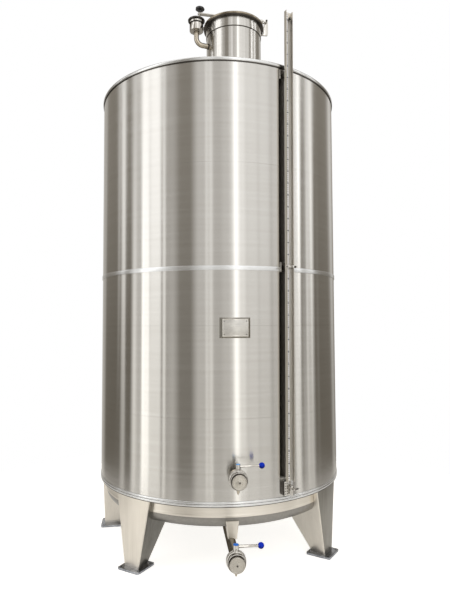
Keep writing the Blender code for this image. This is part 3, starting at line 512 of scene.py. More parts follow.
def arc(x, y, radius, start, end, steps):
    angles = [math.radians(start + (end - start) * step / steps) for step in range(steps + 1)]
    return [(x + radius * math.cos(angle), y + radius * math.sin(angle)) for angle in angles]


def washer(inner, outer, low, high, low_edge=0.0, high_edge=0.0):
    """The profile of a ring, or of a disc where the inner radius is 0, with its outer edges rounded."""
    return [(inner, low), (outer, low, low_edge), (outer, high, high_edge), (inner, high)]


def side_faces(count, closed=True):
    """The side faces between a lower and an upper row of as many points, as quads."""
    pairs = [(index, (index + 1) % count) for index in range(count if closed else count - 1)]
    return [(index, ahead, count + ahead, count + index) for index, ahead in pairs]


class Piece:
    """One piece of the scene, gathered from closed shapes, each with its own material."""

    def __init__(self, name, slot=None, *nodes, body="tank"):
        self.name = name
        self.slot = slot
        self.nodes = nodes
        self.body = body
        self.shape = bmesh.new()
        self.materials = []

    def keep(self, verts, faces, material, place, soften=0.0):
        """Adds a closed shape, with its edges softened, at its place."""
        part = bmesh.new()
        made = [part.verts.new(vert) for vert in verts]
        for face in faces:
            part.faces.new([made[index] for index in face])
        bmesh.ops.recalc_face_normals(part, faces=part.faces)
        if soften:
            sharp = [edge for edge in part.edges if edge.calc_face_angle(0.0) > 0.5]
            bmesh.ops.bevel(
                part, geom=sharp, offset=soften, segments=2, affect="EDGES", profile=0.5, clamp_overlap=True,
            )
        if material not in self.materials:
            self.materials.append(material)
        for face in part.faces:
            face.material_index = self.materials.index(material)
        part.transform(place)
        mesh = bpy.data.meshes.new("part")
        part.to_mesh(mesh)
        part.free()
        self.shape.from_mesh(mesh)
        bpy.data.meshes.remove(mesh)
        return self

    def lathe(self, profile, material, place=TANK, steps=ROUND_STEPS, wobble=None, fine=3):
        """Turns a closed profile round the place's Z. Points on the axis become poles."""
        verts = []
        rings = []
        for radius, height in fillet(profile, fine):
            if radius < 1e-6:
                verts.append((0.0, 0.0, height))
                rings.append([len(verts) - 1] * steps)
                continue
            rings.append(list(range(len(verts), len(verts) + steps)))
            for step in range(steps):
                angle = 2 * math.pi * step / steps
                reach = radius + (wobble(angle, height) if wobble else 0.0)
                verts.append((reach * math.cos(angle), reach * math.sin(angle), height))
        faces = []
        for index, ring in enumerate(rings):
            following = rings[(index + 1) % len(rings)]
            for step in range(steps):
                ahead = (step + 1) % steps
                corners = list(dict.fromkeys([ring[step], ring[ahead], following[ahead], following[step]]))
                if len(corners) > 2:
                    faces.append(corners)
        return self.keep(verts, faces, material, place)

    def block(self, low, high, material, place=TANK, soften=0.001):
        verts = [(x, y, z) for x in (low[0], high[0]) for y in (low[1], high[1]) for z in (low[2], high[2])]
        faces = [(0, 1, 3, 2), (4, 6, 7, 5), (0, 4, 5, 1), (2, 3, 7, 6), (0, 2, 6, 4), (1, 5, 7, 3)]
        return self.keep(verts, faces, material, place, soften)

    def prism(self, outline, low, high, material, place=TANK, soften=0.0):
        """An outline in XY raised from low to high."""
        count = len(outline)
        verts = [(x, y, z) for z in (low, high) for x, y in outline]
        faces = [tuple(range(count))[::-1], tuple(range(count, 2 * count))] + side_faces(count)
        return self.keep(verts, faces, material, place, soften)

    def loft(self, low, high, low_height, high_height, material, place):
        """Joins one outline in XY to another of as many points, with sides of triangles."""
        count = len(low)
        verts = [(x, y, low_height) for x, y in low] + [(x, y, high_height) for x, y in high]
        faces = [tuple(range(count)), tuple(range(count, 2 * count))]
        for first, second, third, fourth in side_faces(count):
            faces += [(first, second, third), (first, third, fourth)]
        return self.keep(verts, faces, material, place)

    def bar(self, points, radius, material, place=TANK, sides=24):
        """A round bar along a path. The radius may be one number or one for each point."""
        path = [Vector(point) for point in points]
        radii = radius if isinstance(radius, (list, tuple)) else [radius] * len(path)
        verts = []
        across = None
        for index, point in enumerate(path):
            along = (path[min(index + 1, len(path) - 1)] - path[max(index - 1, 0)]).normalized()
            if across is None:
                helper = Vector((0, 0, 1)) if abs(along.z) < 0.9 else Vector((1, 0, 0))
                across = along.cross(helper).normalized()
            across = (across - along * across.dot(along)).normalized()
            other = along.cross(across)
            for side in range(sides):
                angle = 2 * math.pi * side / sides
                verts.append(point + (across * math.cos(angle) + other * math.sin(angle)) * radii[index])
        faces = [tuple(range(sides))[::-1], tuple(range(len(verts) - sides, len(verts)))]
        for start in range(0, len(verts) - sides, sides):
            faces += [tuple(start + corner for corner in quad) for quad in side_faces(sides)]
        return self.keep(verts, faces, material, place)

    def hexagon(self, across_flats, low, high, material, place=TANK, soften=0.0006):
        outline = arc(0.0, 0.0, across_flats / math.sqrt(3), 0, 300, 5)
        return self.prism(outline, low, high, material, place, soften)

    def screw(self, x, z, front, radius, place, material):
        """A domed screw head on a flat face that looks forwards."""
        profile = [(0.0, front - 0.0005), (radius, front - 0.0005), (radius, front + radius * 0.35, radius * 0.4),
                   (0.0, front + radius * 0.55)]
        return self.lathe(profile, material, place @ moved(x, 0.0, z) @ FORWARDS, 20, fine=4)

    def tool(self):
        """This piece as a bare object, which is all that a cutter needs."""
        mesh = bpy.data.meshes.new(self.name)
        self.shape.to_mesh(mesh)
        self.shape.free()
        for material in self.materials:
            mesh.materials.append(material)
        obj = bpy.data.objects.new(self.name, mesh)
        bpy.context.scene.collection.objects.link(obj)
        return obj

    def done(self, sharp=38, cutters=()):
        """This piece as a smoothed object, cut out and given its body, with the nodes that it stands for hidden."""
        obj = self.tool()
        smooth(obj.data, sharp)
        for cutter in cutters:
            take_away(obj, cutter, sharp)
        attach(obj, self.body)
        if self.nodes:
            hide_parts(*self.nodes)
        return obj


def smooth(mesh, sharp):
    mesh.shade_smooth()
    mesh.set_sharp_from_angle(angle=math.radians(sharp))


def take_away(obj, cutter, sharp):
    """Cuts one object out of another for good, and deletes the cutter."""
    modifier = obj.modifiers.new("cut", "BOOLEAN")
    modifier.operation = "DIFFERENCE"
    modifier.solver = "EXACT"
    modifier.object = cutter
    bpy.context.view_layer.update()
    mesh = bpy.data.meshes.new_from_object(obj.evaluated_get(bpy.context.evaluated_depsgraph_get()))
    obj.modifiers.clear()
    obj.data = mesh
    smooth(mesh, sharp)
    bpy.data.objects.remove(cutter)


def reface(obj, steel, chosen):
    """Gives another steel to the faces of an object that are chosen."""
    materials = obj.data.materials
    if steel.name not in materials:
        materials.append(steel)
    index = materials.find(steel.name)
    for face in obj.data.polygons:
        if chosen(face):
            face.material_index = index


def dish_profile(offset, steps=14):
    """The dished bottom's lower face from its rim to the sump, moved outwards by an offset."""
    radius = KNUCKLE_RADIUS + offset
    points = []
    for step in range(steps + 1):
        angle = KNUCKLE_ANGLE * step / steps
        across = DISH_RADIUS - KNUCKLE_RADIUS + radius * math.cos(angle)
        points.append((across, KNUCKLE_HEIGHT - radius * math.sin(angle)))
    last_radius, last_height = points[-1]
    points.append((DISH_HOLE, last_height - (last_radius - DISH_HOLE) * DISH_SLOPE))
    return points


# ------------ tank
for name, low, high in (
    ("shell_lower", RIM_TOP + GAP, BAND_MIDDLE - GAP), ("shell_upper", BAND_MIDDLE, SHELL_TOP - GAP),
):
    sheet = Piece(name + "_sheet", BRUSHED, name)
    sheet.lathe(washer(TANK_RADIUS - SHEET, TANK_RADIUS, low, high), shell_steel, steps=TANK_STEPS).done()

Piece("joint_band", POLISHED, "mid_band").lathe(
    washer(TANK_RADIUS + GAP, BAND_RADIUS, BAND_BOTTOM, BAND_TOP, 0.0022, 0.0022), rim_steel, steps=TANK_STEPS,
).done()

groove = (RIM_BOTTOM + RIM_TOP) / 2
ring_inner = SKIRT_RADIUS - SHEET
rim = Piece("bottom_rim_rolled", POLISHED, "bottom_rim").lathe(
    [(ring_inner, RIM_BOTTOM), (RIM_RADIUS, RIM_BOTTOM, 0.004), (RIM_RADIUS, groove - 0.002, 0.004),
     (TANK_RADIUS, groove), (RIM_RADIUS, groove + 0.002, 0.004), (RIM_RADIUS, RIM_TOP, 0.004), (ring_inner, RIM_TOP)],
    rim_steel, steps=TANK_STEPS,
)
# Painted shadow lines: dark rings under the rim's lower edge and in its groove
for low, high in ((RIM_BOTTOM - 0.0025, RIM_BOTTOM + 0.001), (groove - 0.0012, groove + 0.0012)):
    rim.lathe(washer(TANK_RADIUS - 0.006, RIM_RADIUS - 0.0012, low, high), dark_steel, steps=TANK_STEPS)
rim.done()

bead_inner = ROOF_EDGE_RADIUS + GAP
bead_top = SHELL_TOP + BEAD_HEIGHT
bead = Piece("top_rim_rolled", POLISHED, "top_rim").lathe(
    [(bead_inner, SHELL_TOP), (BEAD_RADIUS - 0.005, SHELL_TOP), (BEAD_RADIUS, SHELL_TOP + 0.006, 0.005),
     (BEAD_RADIUS, bead_top - 0.006, 0.006), (BEAD_RADIUS - 0.006, bead_top, 0.004), (bead_inner, bead_top - 0.003)],
    rim_steel, steps=TANK_STEPS,
)
shadow = washer(TANK_RADIUS + 0.0006, BEAD_RADIUS - 0.0015, SHELL_TOP - 0.003, SHELL_TOP + 0.002)
bead.lathe(shadow, dark_steel, steps=TANK_STEPS).done()

outside = SKIRT_RADIUS - 0.001
Piece("skirt_sheet", BRUSHED, "skirt_ring").lathe(
    [(ring_inner, SKIRT_BOTTOM), (SKIRT_RADIUS, SKIRT_BOTTOM, 0.002), (SKIRT_RADIUS, SKIRT_BOTTOM + 0.012, 0.001),
     (outside, SKIRT_BOTTOM + 0.014, 0.001), (outside, RIM_BOTTOM - GAP), (ring_inner, RIM_BOTTOM - GAP)],
    skirt_steel, steps=TANK_STEPS,
).done()

lower = dish_profile(0.0)
Piece("dished_bottom", BRUSHED, "bottom_dish").lathe(
    [(DISH_RADIUS, DISH_TOP)] + lower + dish_profile(-SHEET)[::-1] + [(DISH_RADIUS - SHEET, DISH_TOP)],
    dish_steel, steps=DISH_STEPS,
).done()

sump_floor = SUMP_BOTTOM + 0.006
sump_top = lower[-1][1] - GAP
Piece("drain_sump_turned", POLISHED, "drain_sump").lathe(
    [(0.0, sump_floor), (DISH_HOLE, sump_floor, 0.003), (DISH_HOLE, sump_top),
     (SUMP_RADIUS, sump_top + (SUMP_RADIUS - DISH_HOLE) * DISH_SLOPE), (SUMP_RADIUS, SUMP_BOTTOM, 0.005),
     (0.0, SUMP_BOTTOM)],
    satin_steel,
).done()

peak = ROOF_EDGE_HEIGHT + ROOF_EDGE_RADIUS * math.tan(ROOF_SLOPE)
thick = SHEET / math.cos(ROOF_SLOPE)
roof = Piece("roof_cone", BRUSHED, "roof").lathe(
    [(0.0, peak), (ROOF_EDGE_RADIUS, ROOF_EDGE_HEIGHT), (ROOF_EDGE_RADIUS, ROOF_EDGE_HEIGHT - thick),
     (0.0, peak - thick)],
    roof_steel, steps=DISH_STEPS,
)
hole = Piece("hole").lathe(washer(0.0, NECK_RADIUS + GAP, 2.8, 3.6), roof_steel, MANWAY)
roof.done(cutters=[hole.tool()])

# ------------ manway
neck_inner = NECK_RADIUS - NECK_WALL
top = FLANGE_BOTTOM - GAP
Piece("manway_neck_sheet", BRUSHED, "manway_neck").lathe(
    washer(neck_inner, NECK_RADIUS, NECK_BOTTOM, top), neck_steel, MANWAY, MANWAY_STEPS,
).done()

inner = NECK_RADIUS + GAP
outer = inner + 0.003
seam_top = COLLAR_BOTTOM + 0.005
collar = Piece("manway_collar_ring", BRUSHED, "manway_collar").lathe(
    [(inner, seam_top), (outer, seam_top, 0.0015), (outer, top), (inner, top)], neck_steel, MANWAY, MANWAY_STEPS,
)
collar.lathe(washer(inner, inner + 0.002, COLLAR_BOTTOM, seam_top), dark_steel, MANWAY, MANWAY_STEPS).done()

rounded = FLANGE_RADIUS - 0.002
# The flange ring is drawn in the dark shaded steel: painted shade
Piece("manway_flange_ring", POLISHED, "manway_flange").lathe(
    [(neck_inner, FLANGE_BOTTOM), (rounded, FLANGE_BOTTOM, 0.002), (FLANGE_RADIUS, FLANGE_BOTTOM + 0.006, 0.004),
     (rounded, FLANGE_TOP, 0.002), (neck_inner, FLANGE_TOP)],
    dark_steel, MANWAY, MANWAY_STEPS,
).done()

edge_bottom = FLANGE_TOP + GAP
edge_inner = FLANGE_RADIUS - 0.012
sag = LID_DOME_TOP - LID_EDGE_TOP
dome_radius = (LID_DOME_RADIUS**2 + sag**2) / (2 * sag)
dome_angle = math.asin(LID_DOME_RADIUS / dome_radius)
boss_angle = math.asin(LID_BOSS_RADIUS / dome_radius)
boss_top = HINGE_HEIGHT - HINGE_X * (HINGE_HEIGHT - STUD_HEIGHT) / (HINGE_X - STUD_X) + BAR_THICKNESS / 2 + 0.003


def dome(radius, start, steps=14):
    """The lid's dome in section, from an angle at its middle out to its edge."""
    angles = [start + (dome_angle - start) * step / steps for step in range(steps + 1)]
    return [(radius * math.sin(angle), LID_DOME_TOP - dome_radius + radius * math.cos(angle)) for angle in angles]


lid = Piece("lid_pressed", POLISHED, "lid", body="manway_lid").lathe(
    [(0.0, boss_top), (LID_BOSS_RADIUS, boss_top, 0.003)] + dome(dome_radius, boss_angle)
    + [(LID_DOME_RADIUS + 0.003, LID_EDGE_TOP - 0.003, 0.003), (edge_inner, LID_EDGE_TOP - 0.002),
       (edge_inner, edge_bottom), (LID_DOME_RADIUS - 0.002, edge_bottom)]
    + dome(dome_radius - NECK_WALL, 0.0)[::-1],
    bright_steel, MANWAY, MANWAY_STEPS,
)
# The lid's edge ring in the darker warm steel: painted shade
lid.lathe(
    [(edge_inner, edge_bottom), (rounded, edge_bottom, 0.003),
     (FLANGE_RADIUS, (LID_EDGE_TOP + edge_bottom) / 2, 0.004), (rounded, LID_EDGE_TOP, 0.003),
     (edge_inner, LID_EDGE_TOP - 0.002)],
    edge_steel, MANWAY, MANWAY_STEPS,
)
half = BAR_WIDTH / 2
thick = BAR_THICKNESS / 2
bar_room = Piece("bar_room").block(
    (-0.300, -0.050, -thick - GAP), (-0.150, 0.050, 0.060), bright_steel, LID_BAR, 0.0,
)
lid.done(cutters=[bar_room.tool()])

lid_bar = Piece("lid_bar_flat", POLISHED, "lid_bar", body="manway_lid")
length = math.hypot(STUD_HEIGHT - HINGE_HEIGHT, HINGE_X - STUD_X)
outline = [(-0.024, -half), (-0.024, half), (-length, half)] + arc(-length, 0.0, half, 90, 270, 12)[1:-1]
lid_bar.prism(outline + [(-length, -half)], -thick, thick, bright_steel, LID_BAR, 0.0008)
ear = [(-0.060, -thick * 1.6), (-0.060, thick * 1.6)] + arc(0.0, 0.0, 0.0098, 90, -90, 10)
for side in (0.0135, -0.0095):
    lid_bar.prism(ear, side - 0.004, side, bright_steel, LID_BAR @ FORWARDS, 0.0006)
pin_place = MANWAY @ moved(HINGE_X, 0.0, HINGE_HEIGHT) @ FORWARDS
lid_bar.bar([(0, 0, -0.017), (0, 0, 0.017)], 0.005, bright_steel, pin_place)
for side in (-0.0195, 0.0175):
    lid_bar.hexagon(0.0135, side - 0.001, side + 0.004, dark_steel, pin_place)
# Painted shade: a dark ring round the stud on the bar's top stands for its hole
stud_hole_shade = washer(STUD_RADIUS + 0.0004, 0.011, thick, thick + 0.002, 0.0006, 0.0006)
lid_bar.lathe(stud_hole_shade, dark_steel, STUD, 32).done()

seat = NECK_RADIUS + NECK_WALL + 2 * GAP
under = FLANGE_BOTTOM - GAP - 0.001
clear = FLANGE_RADIUS + 0.003
lug_front = HINGE_X + 0.013
outline = [(seat, under - LUG_DROP), (lug_front - 0.006, under - LUG_DROP), (lug_front, under)]
outline += arc(HINGE_X, HINGE_HEIGHT, 0.013, 0, 180, 16) + [(clear, under + 0.035), (clear, under), (seat, under)]
Piece("hinge_lug_plate", POLISHED, "hinge_lug").prism(
    outline, -0.005, 0.005, bright_steel, MANWAY @ FORWARDS, 0.0008,
).done()

knob_bottom = BAR_THICKNESS / 2 + 0.004
root = STUD_RADIUS - 0.0009
thread = [(0.0, -STUD_REACH), (STUD_RADIUS - 0.001, -STUD_REACH)]
for step in range(44):
    height = -STUD_REACH + 0.002 + step * 0.0030
    if height + 0.003 < -thick - 0.001:
        thread += [(root, height), (STUD_RADIUS, height + 0.0015)]
thread += [(root, -thick - 0.001), (root, knob_bottom - GAP), (0.0, knob_bottom - GAP)]
stud = Piece("clamp_stud_threaded", POLISHED, "clamp_stud", body="manway_lid")
stud.lathe(thread, bright_steel, STUD, 24).done(sharp=60)

grip_bottom = knob_bottom + KNOB_NECK


def lobes(angle, height):
    """How far the knob's outline is drawn in between its lobes."""
    swell = math.sin(min(max((height - grip_bottom) / 0.018, 0.0), 1.0) * math.pi)
    return LOBE_DEPTH * swell * (math.cos(KNOB_LOBES * angle) - 1.0)


grip_profile = (
    (0.0125, -0.001), (0.020, 0.0003), (0.028, 0.0015), (0.0322, 0.0042), (0.0338, 0.0082), (0.0338, 0.0118),
    (0.0322, 0.0155), (0.0275, 0.0182), (0.019, 0.0198), (0.0130, 0.0202), (0.0120, 0.0210), (0.0, 0.0210),
)
knob = Piece("clamp_knob_lobed", "black_plastic", "clamp_knob", body="clamp_hand_knob")
knob.lathe(
    [(0.0, knob_bottom), (0.0110, knob_bottom), (0.0118, knob_bottom + 0.004)]
    + [(radius, grip_bottom + height) for radius, height in grip_profile],
    black, STUD, 98, lobes,
)
knob.done(sharp=50)

reach = STUD_X - STUD_REACH * math.sin(BAR_TILT) - 0.016
near = -(FLANGE_RADIUS + GAP)
slot_end = reach + 0.030 - 0.0085
outline = [(near, -0.018), (near, 0.018), (reach + 0.010, 0.018)] + arc(reach + 0.005, 0.013, 0.005, 90, 180, 4)
outline += [(reach, 0.0085), (slot_end, 0.0085)] + arc(slot_end, 0.0, 0.0085, 90, -90, 10)[1:-1]
outline += [(slot_end, -0.0085), (reach, -0.0085)] + arc(reach + 0.005, -0.013, 0.005, 180, 270, 4)
Piece("clamp_fork_arms", POLISHED, "clamp_fork").prism(
    outline, FLANGE_BOTTOM, FLANGE_BOTTOM + 0.012, bright_steel, MANWAY, 0.0008,
).done()

# ------------ breather
away = Vector((BREATHER_X, BREATHER_Y, 0.0))
outwards = away.normalized()
level = Vector((0.0, 0.0, PIPE_HEIGHT))
path = [outwards * (NECK_RADIUS + 0.001) + level]
for step in range(19):
    angle = math.pi / 2 * step / 18
    across = away - outwards * PIPE_BEND * (1 - math.sin(angle))
    path.append(Vector((across.x, across.y, PIPE_HEIGHT + PIPE_BEND * (1 - math.cos(angle)))))
path[-1].z = min(path[-1].z, CUP_BOTTOM + 0.004)
path.append(Vector((away.x, away.y, CUP_BOTTOM + 0.008)))
elbow = Piece("breather_elbow", POLISHED, "breather_pipe").bar(path, BREATHER_PIPE, gold_steel, MANWAY, 40)
weld_at = Matrix.Translation(outwards * (NECK_RADIUS + 0.0025) + level)
elbow.lathe(
    [(BREATHER_PIPE - 0.001, -0.002), (BREATHER_PIPE + 0.0035, -0.002, 0.002),
     (BREATHER_PIPE + 0.001, 0.0035, 0.001), (BREATHER_PIPE - 0.001, 0.0035)],
    dark_steel, MANWAY @ weld_at @ outwards.to_track_quat("Z", "Y").to_matrix().to_4x4(), 48,
)
elbow.done(sharp=50)

socket = BREATHER_PIPE + 0.001
Piece("breather_cup_spun", POLISHED, "breather_cup").lathe(
    [(0.0, CUP_TOP - GAP), (CUP_RADIUS, CUP_TOP - GAP, 0.002), (CUP_RADIUS, CUP_TOP - 0.014),
     (CUP_RADIUS - 0.0015, CUP_TOP - 0.0155), (CUP_RADIUS - 0.0015, CUP_TOP - 0.0175),
     (CUP_RADIUS, CUP_TOP - 0.019), (CUP_RADIUS, CUP_BOTTOM + 0.001, 0.004),
     (CUP_RADIUS - 0.006, CUP_BOTTOM + 0.0005), (socket + 0.007, CUP_BOTTOM + 0.0025, 0.002),
     (socket + 0.003, CUP_BOTTOM), (socket, CUP_BOTTOM), (socket, CUP_BOTTOM + 0.0085), (0.0, CUP_BOTTOM + 0.0085)],
    bright_steel, BREATHER, fine=5,
).done(sharp=50)

Piece("breather_cap_rolled", POLISHED, "breather_cap").lathe(
    [(0.0, CUP_TOP + 0.012), (BREATHER_CAP - 0.016, CUP_TOP + 0.0105, 0.008),
     (BREATHER_CAP - 0.004, CUP_TOP + 0.0085, 0.004), (BREATHER_CAP, CUP_TOP + 0.0060, 0.003),
     (BREATHER_CAP - 0.001, CUP_TOP - 0.003, 0.001), (BREATHER_CAP - 0.003, CUP_TOP - 0.003),
     (BREATHER_CAP - 0.004, CUP_TOP), (0.0, CUP_TOP)],
    dark_steel, BREATHER, fine=5,
).done(sharp=50)

# ------------ level gauge
half = CHANNEL_WIDTH / 2
web = CHANNEL_BACK + CHANNEL_SHEET
inner = half - CHANNEL_SHEET
channel = Piece("gauge_channel_folded", BRUSHED, "gauge_channel").prism(
    [(-half, -CHANNEL_BACK), (-half, -CHANNEL_FRONT), (-inner, -CHANNEL_FRONT), (-inner, -web), (inner, -web),
     (inner, -CHANNEL_FRONT), (half, -CHANNEL_FRONT), (half, -CHANNEL_BACK)],
    CHANNEL_BOTTOM, CHANNEL_TOP, channel_steel, GAUGE, 0.0007,
)
# Painted shade: a dark sheet on the channel's back, facing the shell, so that its reflection there is dark
channel.block(
    (-half + 0.001, -CHANNEL_BACK, CHANNEL_BOTTOM + 0.002), (half - 0.001, -CHANNEL_BACK + 0.0012, CHANNEL_TOP - 0.002),
    dark_steel, GAUGE, 0.0003,
)
channel.done()

scale = material_nodes("scale_printed_strip")
across, along = scale.axes(scale.add("ShaderNodeUVMap", uv_map="marks").outputs[0])[:2]


def marks(spacing, width, low, high):
    """Ruled marks across part of the strip: 1 on a mark, 0 off it."""
    share = scale.math("FRACT", scale.math("DIVIDE", along, spacing))
    on_mark = scale.math("LESS_THAN", share, width / spacing)
    right = scale.math("GREATER_THAN", across, low)
    left = scale.math("LESS_THAN", across, high)
    return scale.math("MULTIPLY", scale.math("MULTIPLY", on_mark, right), left)


ink = scale.math("MAXIMUM", marks(0.0115, 0.0040, 0.62, 0.84), marks(0.069, 0.0075, 0.46, 0.97))
mottle = scale.noise((40.0, 40.0, 9.0), 3.0, 0.6)
paper = scale.mix(scale.spread(mottle, 0.0, 1.0), (0.86, 0.86, 0.89), (0.96, 0.96, 0.98))
# Left of this share of its width, beside the channel's wall, the strip is darker brown
paper = scale.mix(scale.math("LESS_THAN", across, SCALE_DARK_SHARE), paper, (0.42, 0.38, 0.32))
scale.set(
    Base_Color=scale.mix(ink, paper, INK), Roughness=scale.spread(mottle, 0.35, 0.50),
    Normal=scale.bump(mottle, 0.00002, 0.4),
)
strip_low, strip_high = SCALE_OFFSET - SCALE_WIDTH / 2, SCALE_OFFSET + SCALE_WIDTH / 2
strip = Piece("gauge_scale_strip", "white_scale", "gauge_scale").block(
    (strip_low, -web - GAP - SCALE_THICKNESS, CHANNEL_BOTTOM + 0.004), (strip_high, -web - GAP, CHANNEL_TOP - 0.006),
    scale.owner, GAUGE, 0.0003,
).done()
uv = strip.data.uv_layers.new(name="marks")
into_gauge = GAUGE.inverted()
for loop in strip.data.loops:
    local = into_gauge @ strip.data.vertices[loop.vertex_index].co
    uv.data[loop.index].uv = ((local.x - strip_low) / SCALE_WIDTH, local.z)

clear = material_nodes("tube_clear_plastic")
haze = clear.noise((60.0, 60.0, 4.0), 2.0, 0.5)
clear.set(
    Base_Color=clear.mix(clear.spread(haze, 0.0, 1.0), (0.86, 0.87, 0.89), (0.94, 0.95, 0.97)),
    Roughness=clear.spread(haze, 0.02, 0.08), Transmission_Weight=1.0, IOR=1.18,
)
tube_distance = web + GAP + TUBE_RADIUS
tube_place = GAUGE @ moved(TUBE_OFFSET, -tube_distance)
tube = Piece("gauge_tube_round", "clear_tube", "gauge_tube")
tube.lathe(washer(TUBE_RADIUS - 0.0015, TUBE_RADIUS, TUBE_BOTTOM, TUBE_TOP - 0.012), clear.owner, tube_place, 32)
tube.lathe(washer(0.0, TUBE_RADIUS, TUBE_TOP - 0.014, TUBE_TOP, 0.0, 0.002), black, tube_place, 32).done()


def bracket(name, node, height, seat):
    """A curved pad on the tank, with its gusset arm out to the channel's back and four bolts."""
    piece = Piece(name, BRUSHED, node)
    half = PAD_HEIGHT / 2
    across = [PAD_WIDTH * (step / 12 - 0.5) for step in range(13)]
    outline = [(x, -seat - 0.004) for x in across]
    outline += [(x, -math.sqrt((seat + 0.0002) ** 2 - x * x)) for x in across[::-1]]
    piece.prism(outline, height - half, height + half, bright_steel, GAUGE, 0.0006)
    arm = [(-seat - 0.003, height - 0.014), (-seat - 0.003, height + 0.015), (-CHANNEL_BACK + GAP, height + 0.015),
           (-CHANNEL_BACK + GAP, height - 0.002), (-seat - 0.018, height - 0.014)]
    place = GAUGE @ Matrix(((0, 0, 1, 0), (1, 0, 0, 0), (0, 1, 0, 0), (0, 0, 0, 1)))
    piece.prism(arm, -0.008, 0.008, dark_steel, place, 0.0008)
    for x in (-0.026, 0.026):
        for z in (-0.019, 0.019):
            piece.screw(x, height + z, seat + 0.004, 0.0042, GAUGE, dark_steel)
    return piece.done()


bracket("gauge_bracket_upper", "gauge_bracket_top", SHELL_TOP - 0.010 - PAD_HEIGHT / 2, TANK_RADIUS + GAP)
bracket("gauge_bracket_lower", "gauge_bracket_middle", BAND_MIDDLE + 0.010, BAND_RADIUS + GAP)

clasp = Piece("gauge_clasp_strap", BRUSHED, "gauge_clasp").block(
    (-0.034, -CHANNEL_FRONT - 0.0043, BAND_MIDDLE + 0.003), (0.034, -CHANNEL_FRONT - GAP, BAND_MIDDLE + 0.017),
    bright_steel, GAUGE, 0.001,
)
clasp_bolt = GAUGE @ moved(0.0295, 0.0, BAND_MIDDLE + 0.010) @ FORWARDS
clasp.lathe(washer(0.0, 0.004, BAND_RADIUS + GAP + 0.0045, CHANNEL_FRONT), bright_steel, clasp_bolt, 20)
clasp.hexagon(0.011, CHANNEL_FRONT + 0.0040, CHANNEL_FRONT + 0.0082, dark_steel, clasp_bolt)
clasp.screw(-0.0285, BAND_MIDDLE + 0.010, CHANNEL_FRONT + 0.0043, 0.0045, GAUGE, dark_steel)
clasp.done()

half, back = BASE_WIDTH / 2, TANK_RADIUS + 0.0008
inner, inner_front = half - BASE_SHEET, BASE_FRONT - BASE_SHEET
base = Piece("gauge_base_plate", BRUSHED, "gauge_base").prism(
    [(-half, -back), (-half, -BASE_FRONT), (half, -BASE_FRONT), (half, -back), (inner, -back), (inner, -inner_front),
     (-inner, -inner_front), (-inner, -back)],
    BASE_BOTTOM, BASE_TOP, bright_steel, GAUGE, 0.0007,
)
for x in (-0.021, -0.009):
    for step in range(5):
        base.screw(x, BASE_BOTTOM + 0.010 + step * 0.0145, BASE_FRONT, 0.0032, GAUGE, dark_steel)
# Painted shade: the base's broad faces that look sideways get the dark shaded steel
sideways = GAUGE.to_3x3() @ Vector((1.0, 0.0, 0.0))
reface(base.done(), dark_steel, lambda face: abs(face.normal.dot(sideways)) > 0.9 and face.area > 0.0005)

cock_top = TUBE_BOTTOM - GAP
cock = Piece("gauge_cock_body", POLISHED, "gauge_cock").lathe(
    [(0.0, cock_top), (0.0095, cock_top, 0.001), (0.0095, cock_top - 0.006, 0.001), (0.0082, cock_top - 0.007),
     (0.0082, BRANCH_HEIGHT + 0.009), (0.0110, BRANCH_HEIGHT + 0.007, 0.003), (0.0110, BRANCH_HEIGHT - 0.010, 0.003),
     (0.0070, BRANCH_HEIGHT - 0.014, 0.001), (0.0070, COCK_BOTTOM + 0.010), (0.0080, COCK_BOTTOM + 0.009, 0.001),
     (0.0080, COCK_BOTTOM, 0.001), (0.0, COCK_BOTTOM)],
    bright_steel, tube_place, 40,
)
branch = GAUGE @ moved(TUBE_OFFSET, 0.0, BRANCH_HEIGHT) @ FORWARDS
start, end = BASE_FRONT + GAP, tube_distance + 0.014
cock.lathe(
    [(0.0, start), (0.011, start, 0.001), (0.011, start + 0.003, 0.001), (0.008, start + 0.003), (0.008, end, 0.001),
     (0.0, end)],
    bright_steel, branch, 40,
)
cock.done()

start = end + GAP
lever = Piece("gauge_cock_grip", POLISHED, "gauge_cock_lever", body="cock_lever")
lever.lathe(washer(0.0, 0.006, start, start + 0.010, 0.0, 0.002), bright_steel, branch, 32)
grip = [(x, 0.0, start + 0.006) for x in (-0.006, 0.012, 0.024, 0.030)]
lever.bar(grip, [0.0030, 0.0034, 0.0044, 0.0030], dark_steel, branch, 20)
lever.done(sharp=50)

# ------------ label
holder = Piece("label_holder_tray", BRUSHED, "label_holder")
half_width, half_tall = LABEL_WIDTH / 2, LABEL_TALL / 2
back = TANK_RADIUS + GAP
columns = 12
count = columns + 1
verts = []
for z in (-half_tall, half_tall):
    for step in range(count):
        x = -half_width + LABEL_WIDTH * step / columns
        verts.append((x, -math.sqrt(back**2 - x * x), LABEL_HEIGHT + z))
end_x, end_z = half_width - LABEL_SIDE_BEVEL, half_tall - LABEL_TALL_BEVEL
for x, z in ((-end_x, -end_z), (end_x, -end_z), (end_x, end_z), (-end_x, end_z)):
    verts.append((x, -back - LABEL_DEPTH, LABEL_HEIGHT + z))
low_left, low_right, high_right, high_left = range(2 * count, 2 * count + 4)
faces = side_faces(count, closed=False) + [
    tuple(range(count)) + (low_right, low_left), tuple(range(count, 2 * count)) + (high_right, high_left),
    (0, count, high_left, low_left), (columns, 2 * count - 1, high_right, low_right),
    (low_left, low_right, high_right, high_left),
]
tray = holder.keep(verts, faces, satin_steel, TANK).done(sharp=20)
# Painted light and shade: faces towards +X get a darker warm steel, top faces a brighter steel, faces towards -X the
# darkest steel
reface(tray, disc_steel, lambda face: face.normal.x > 0.25)
reface(tray, bright_steel, lambda face: face.normal.z > 0.25)
reface(tray, leg_shade_steel, lambda face: face.normal.x < -0.25)

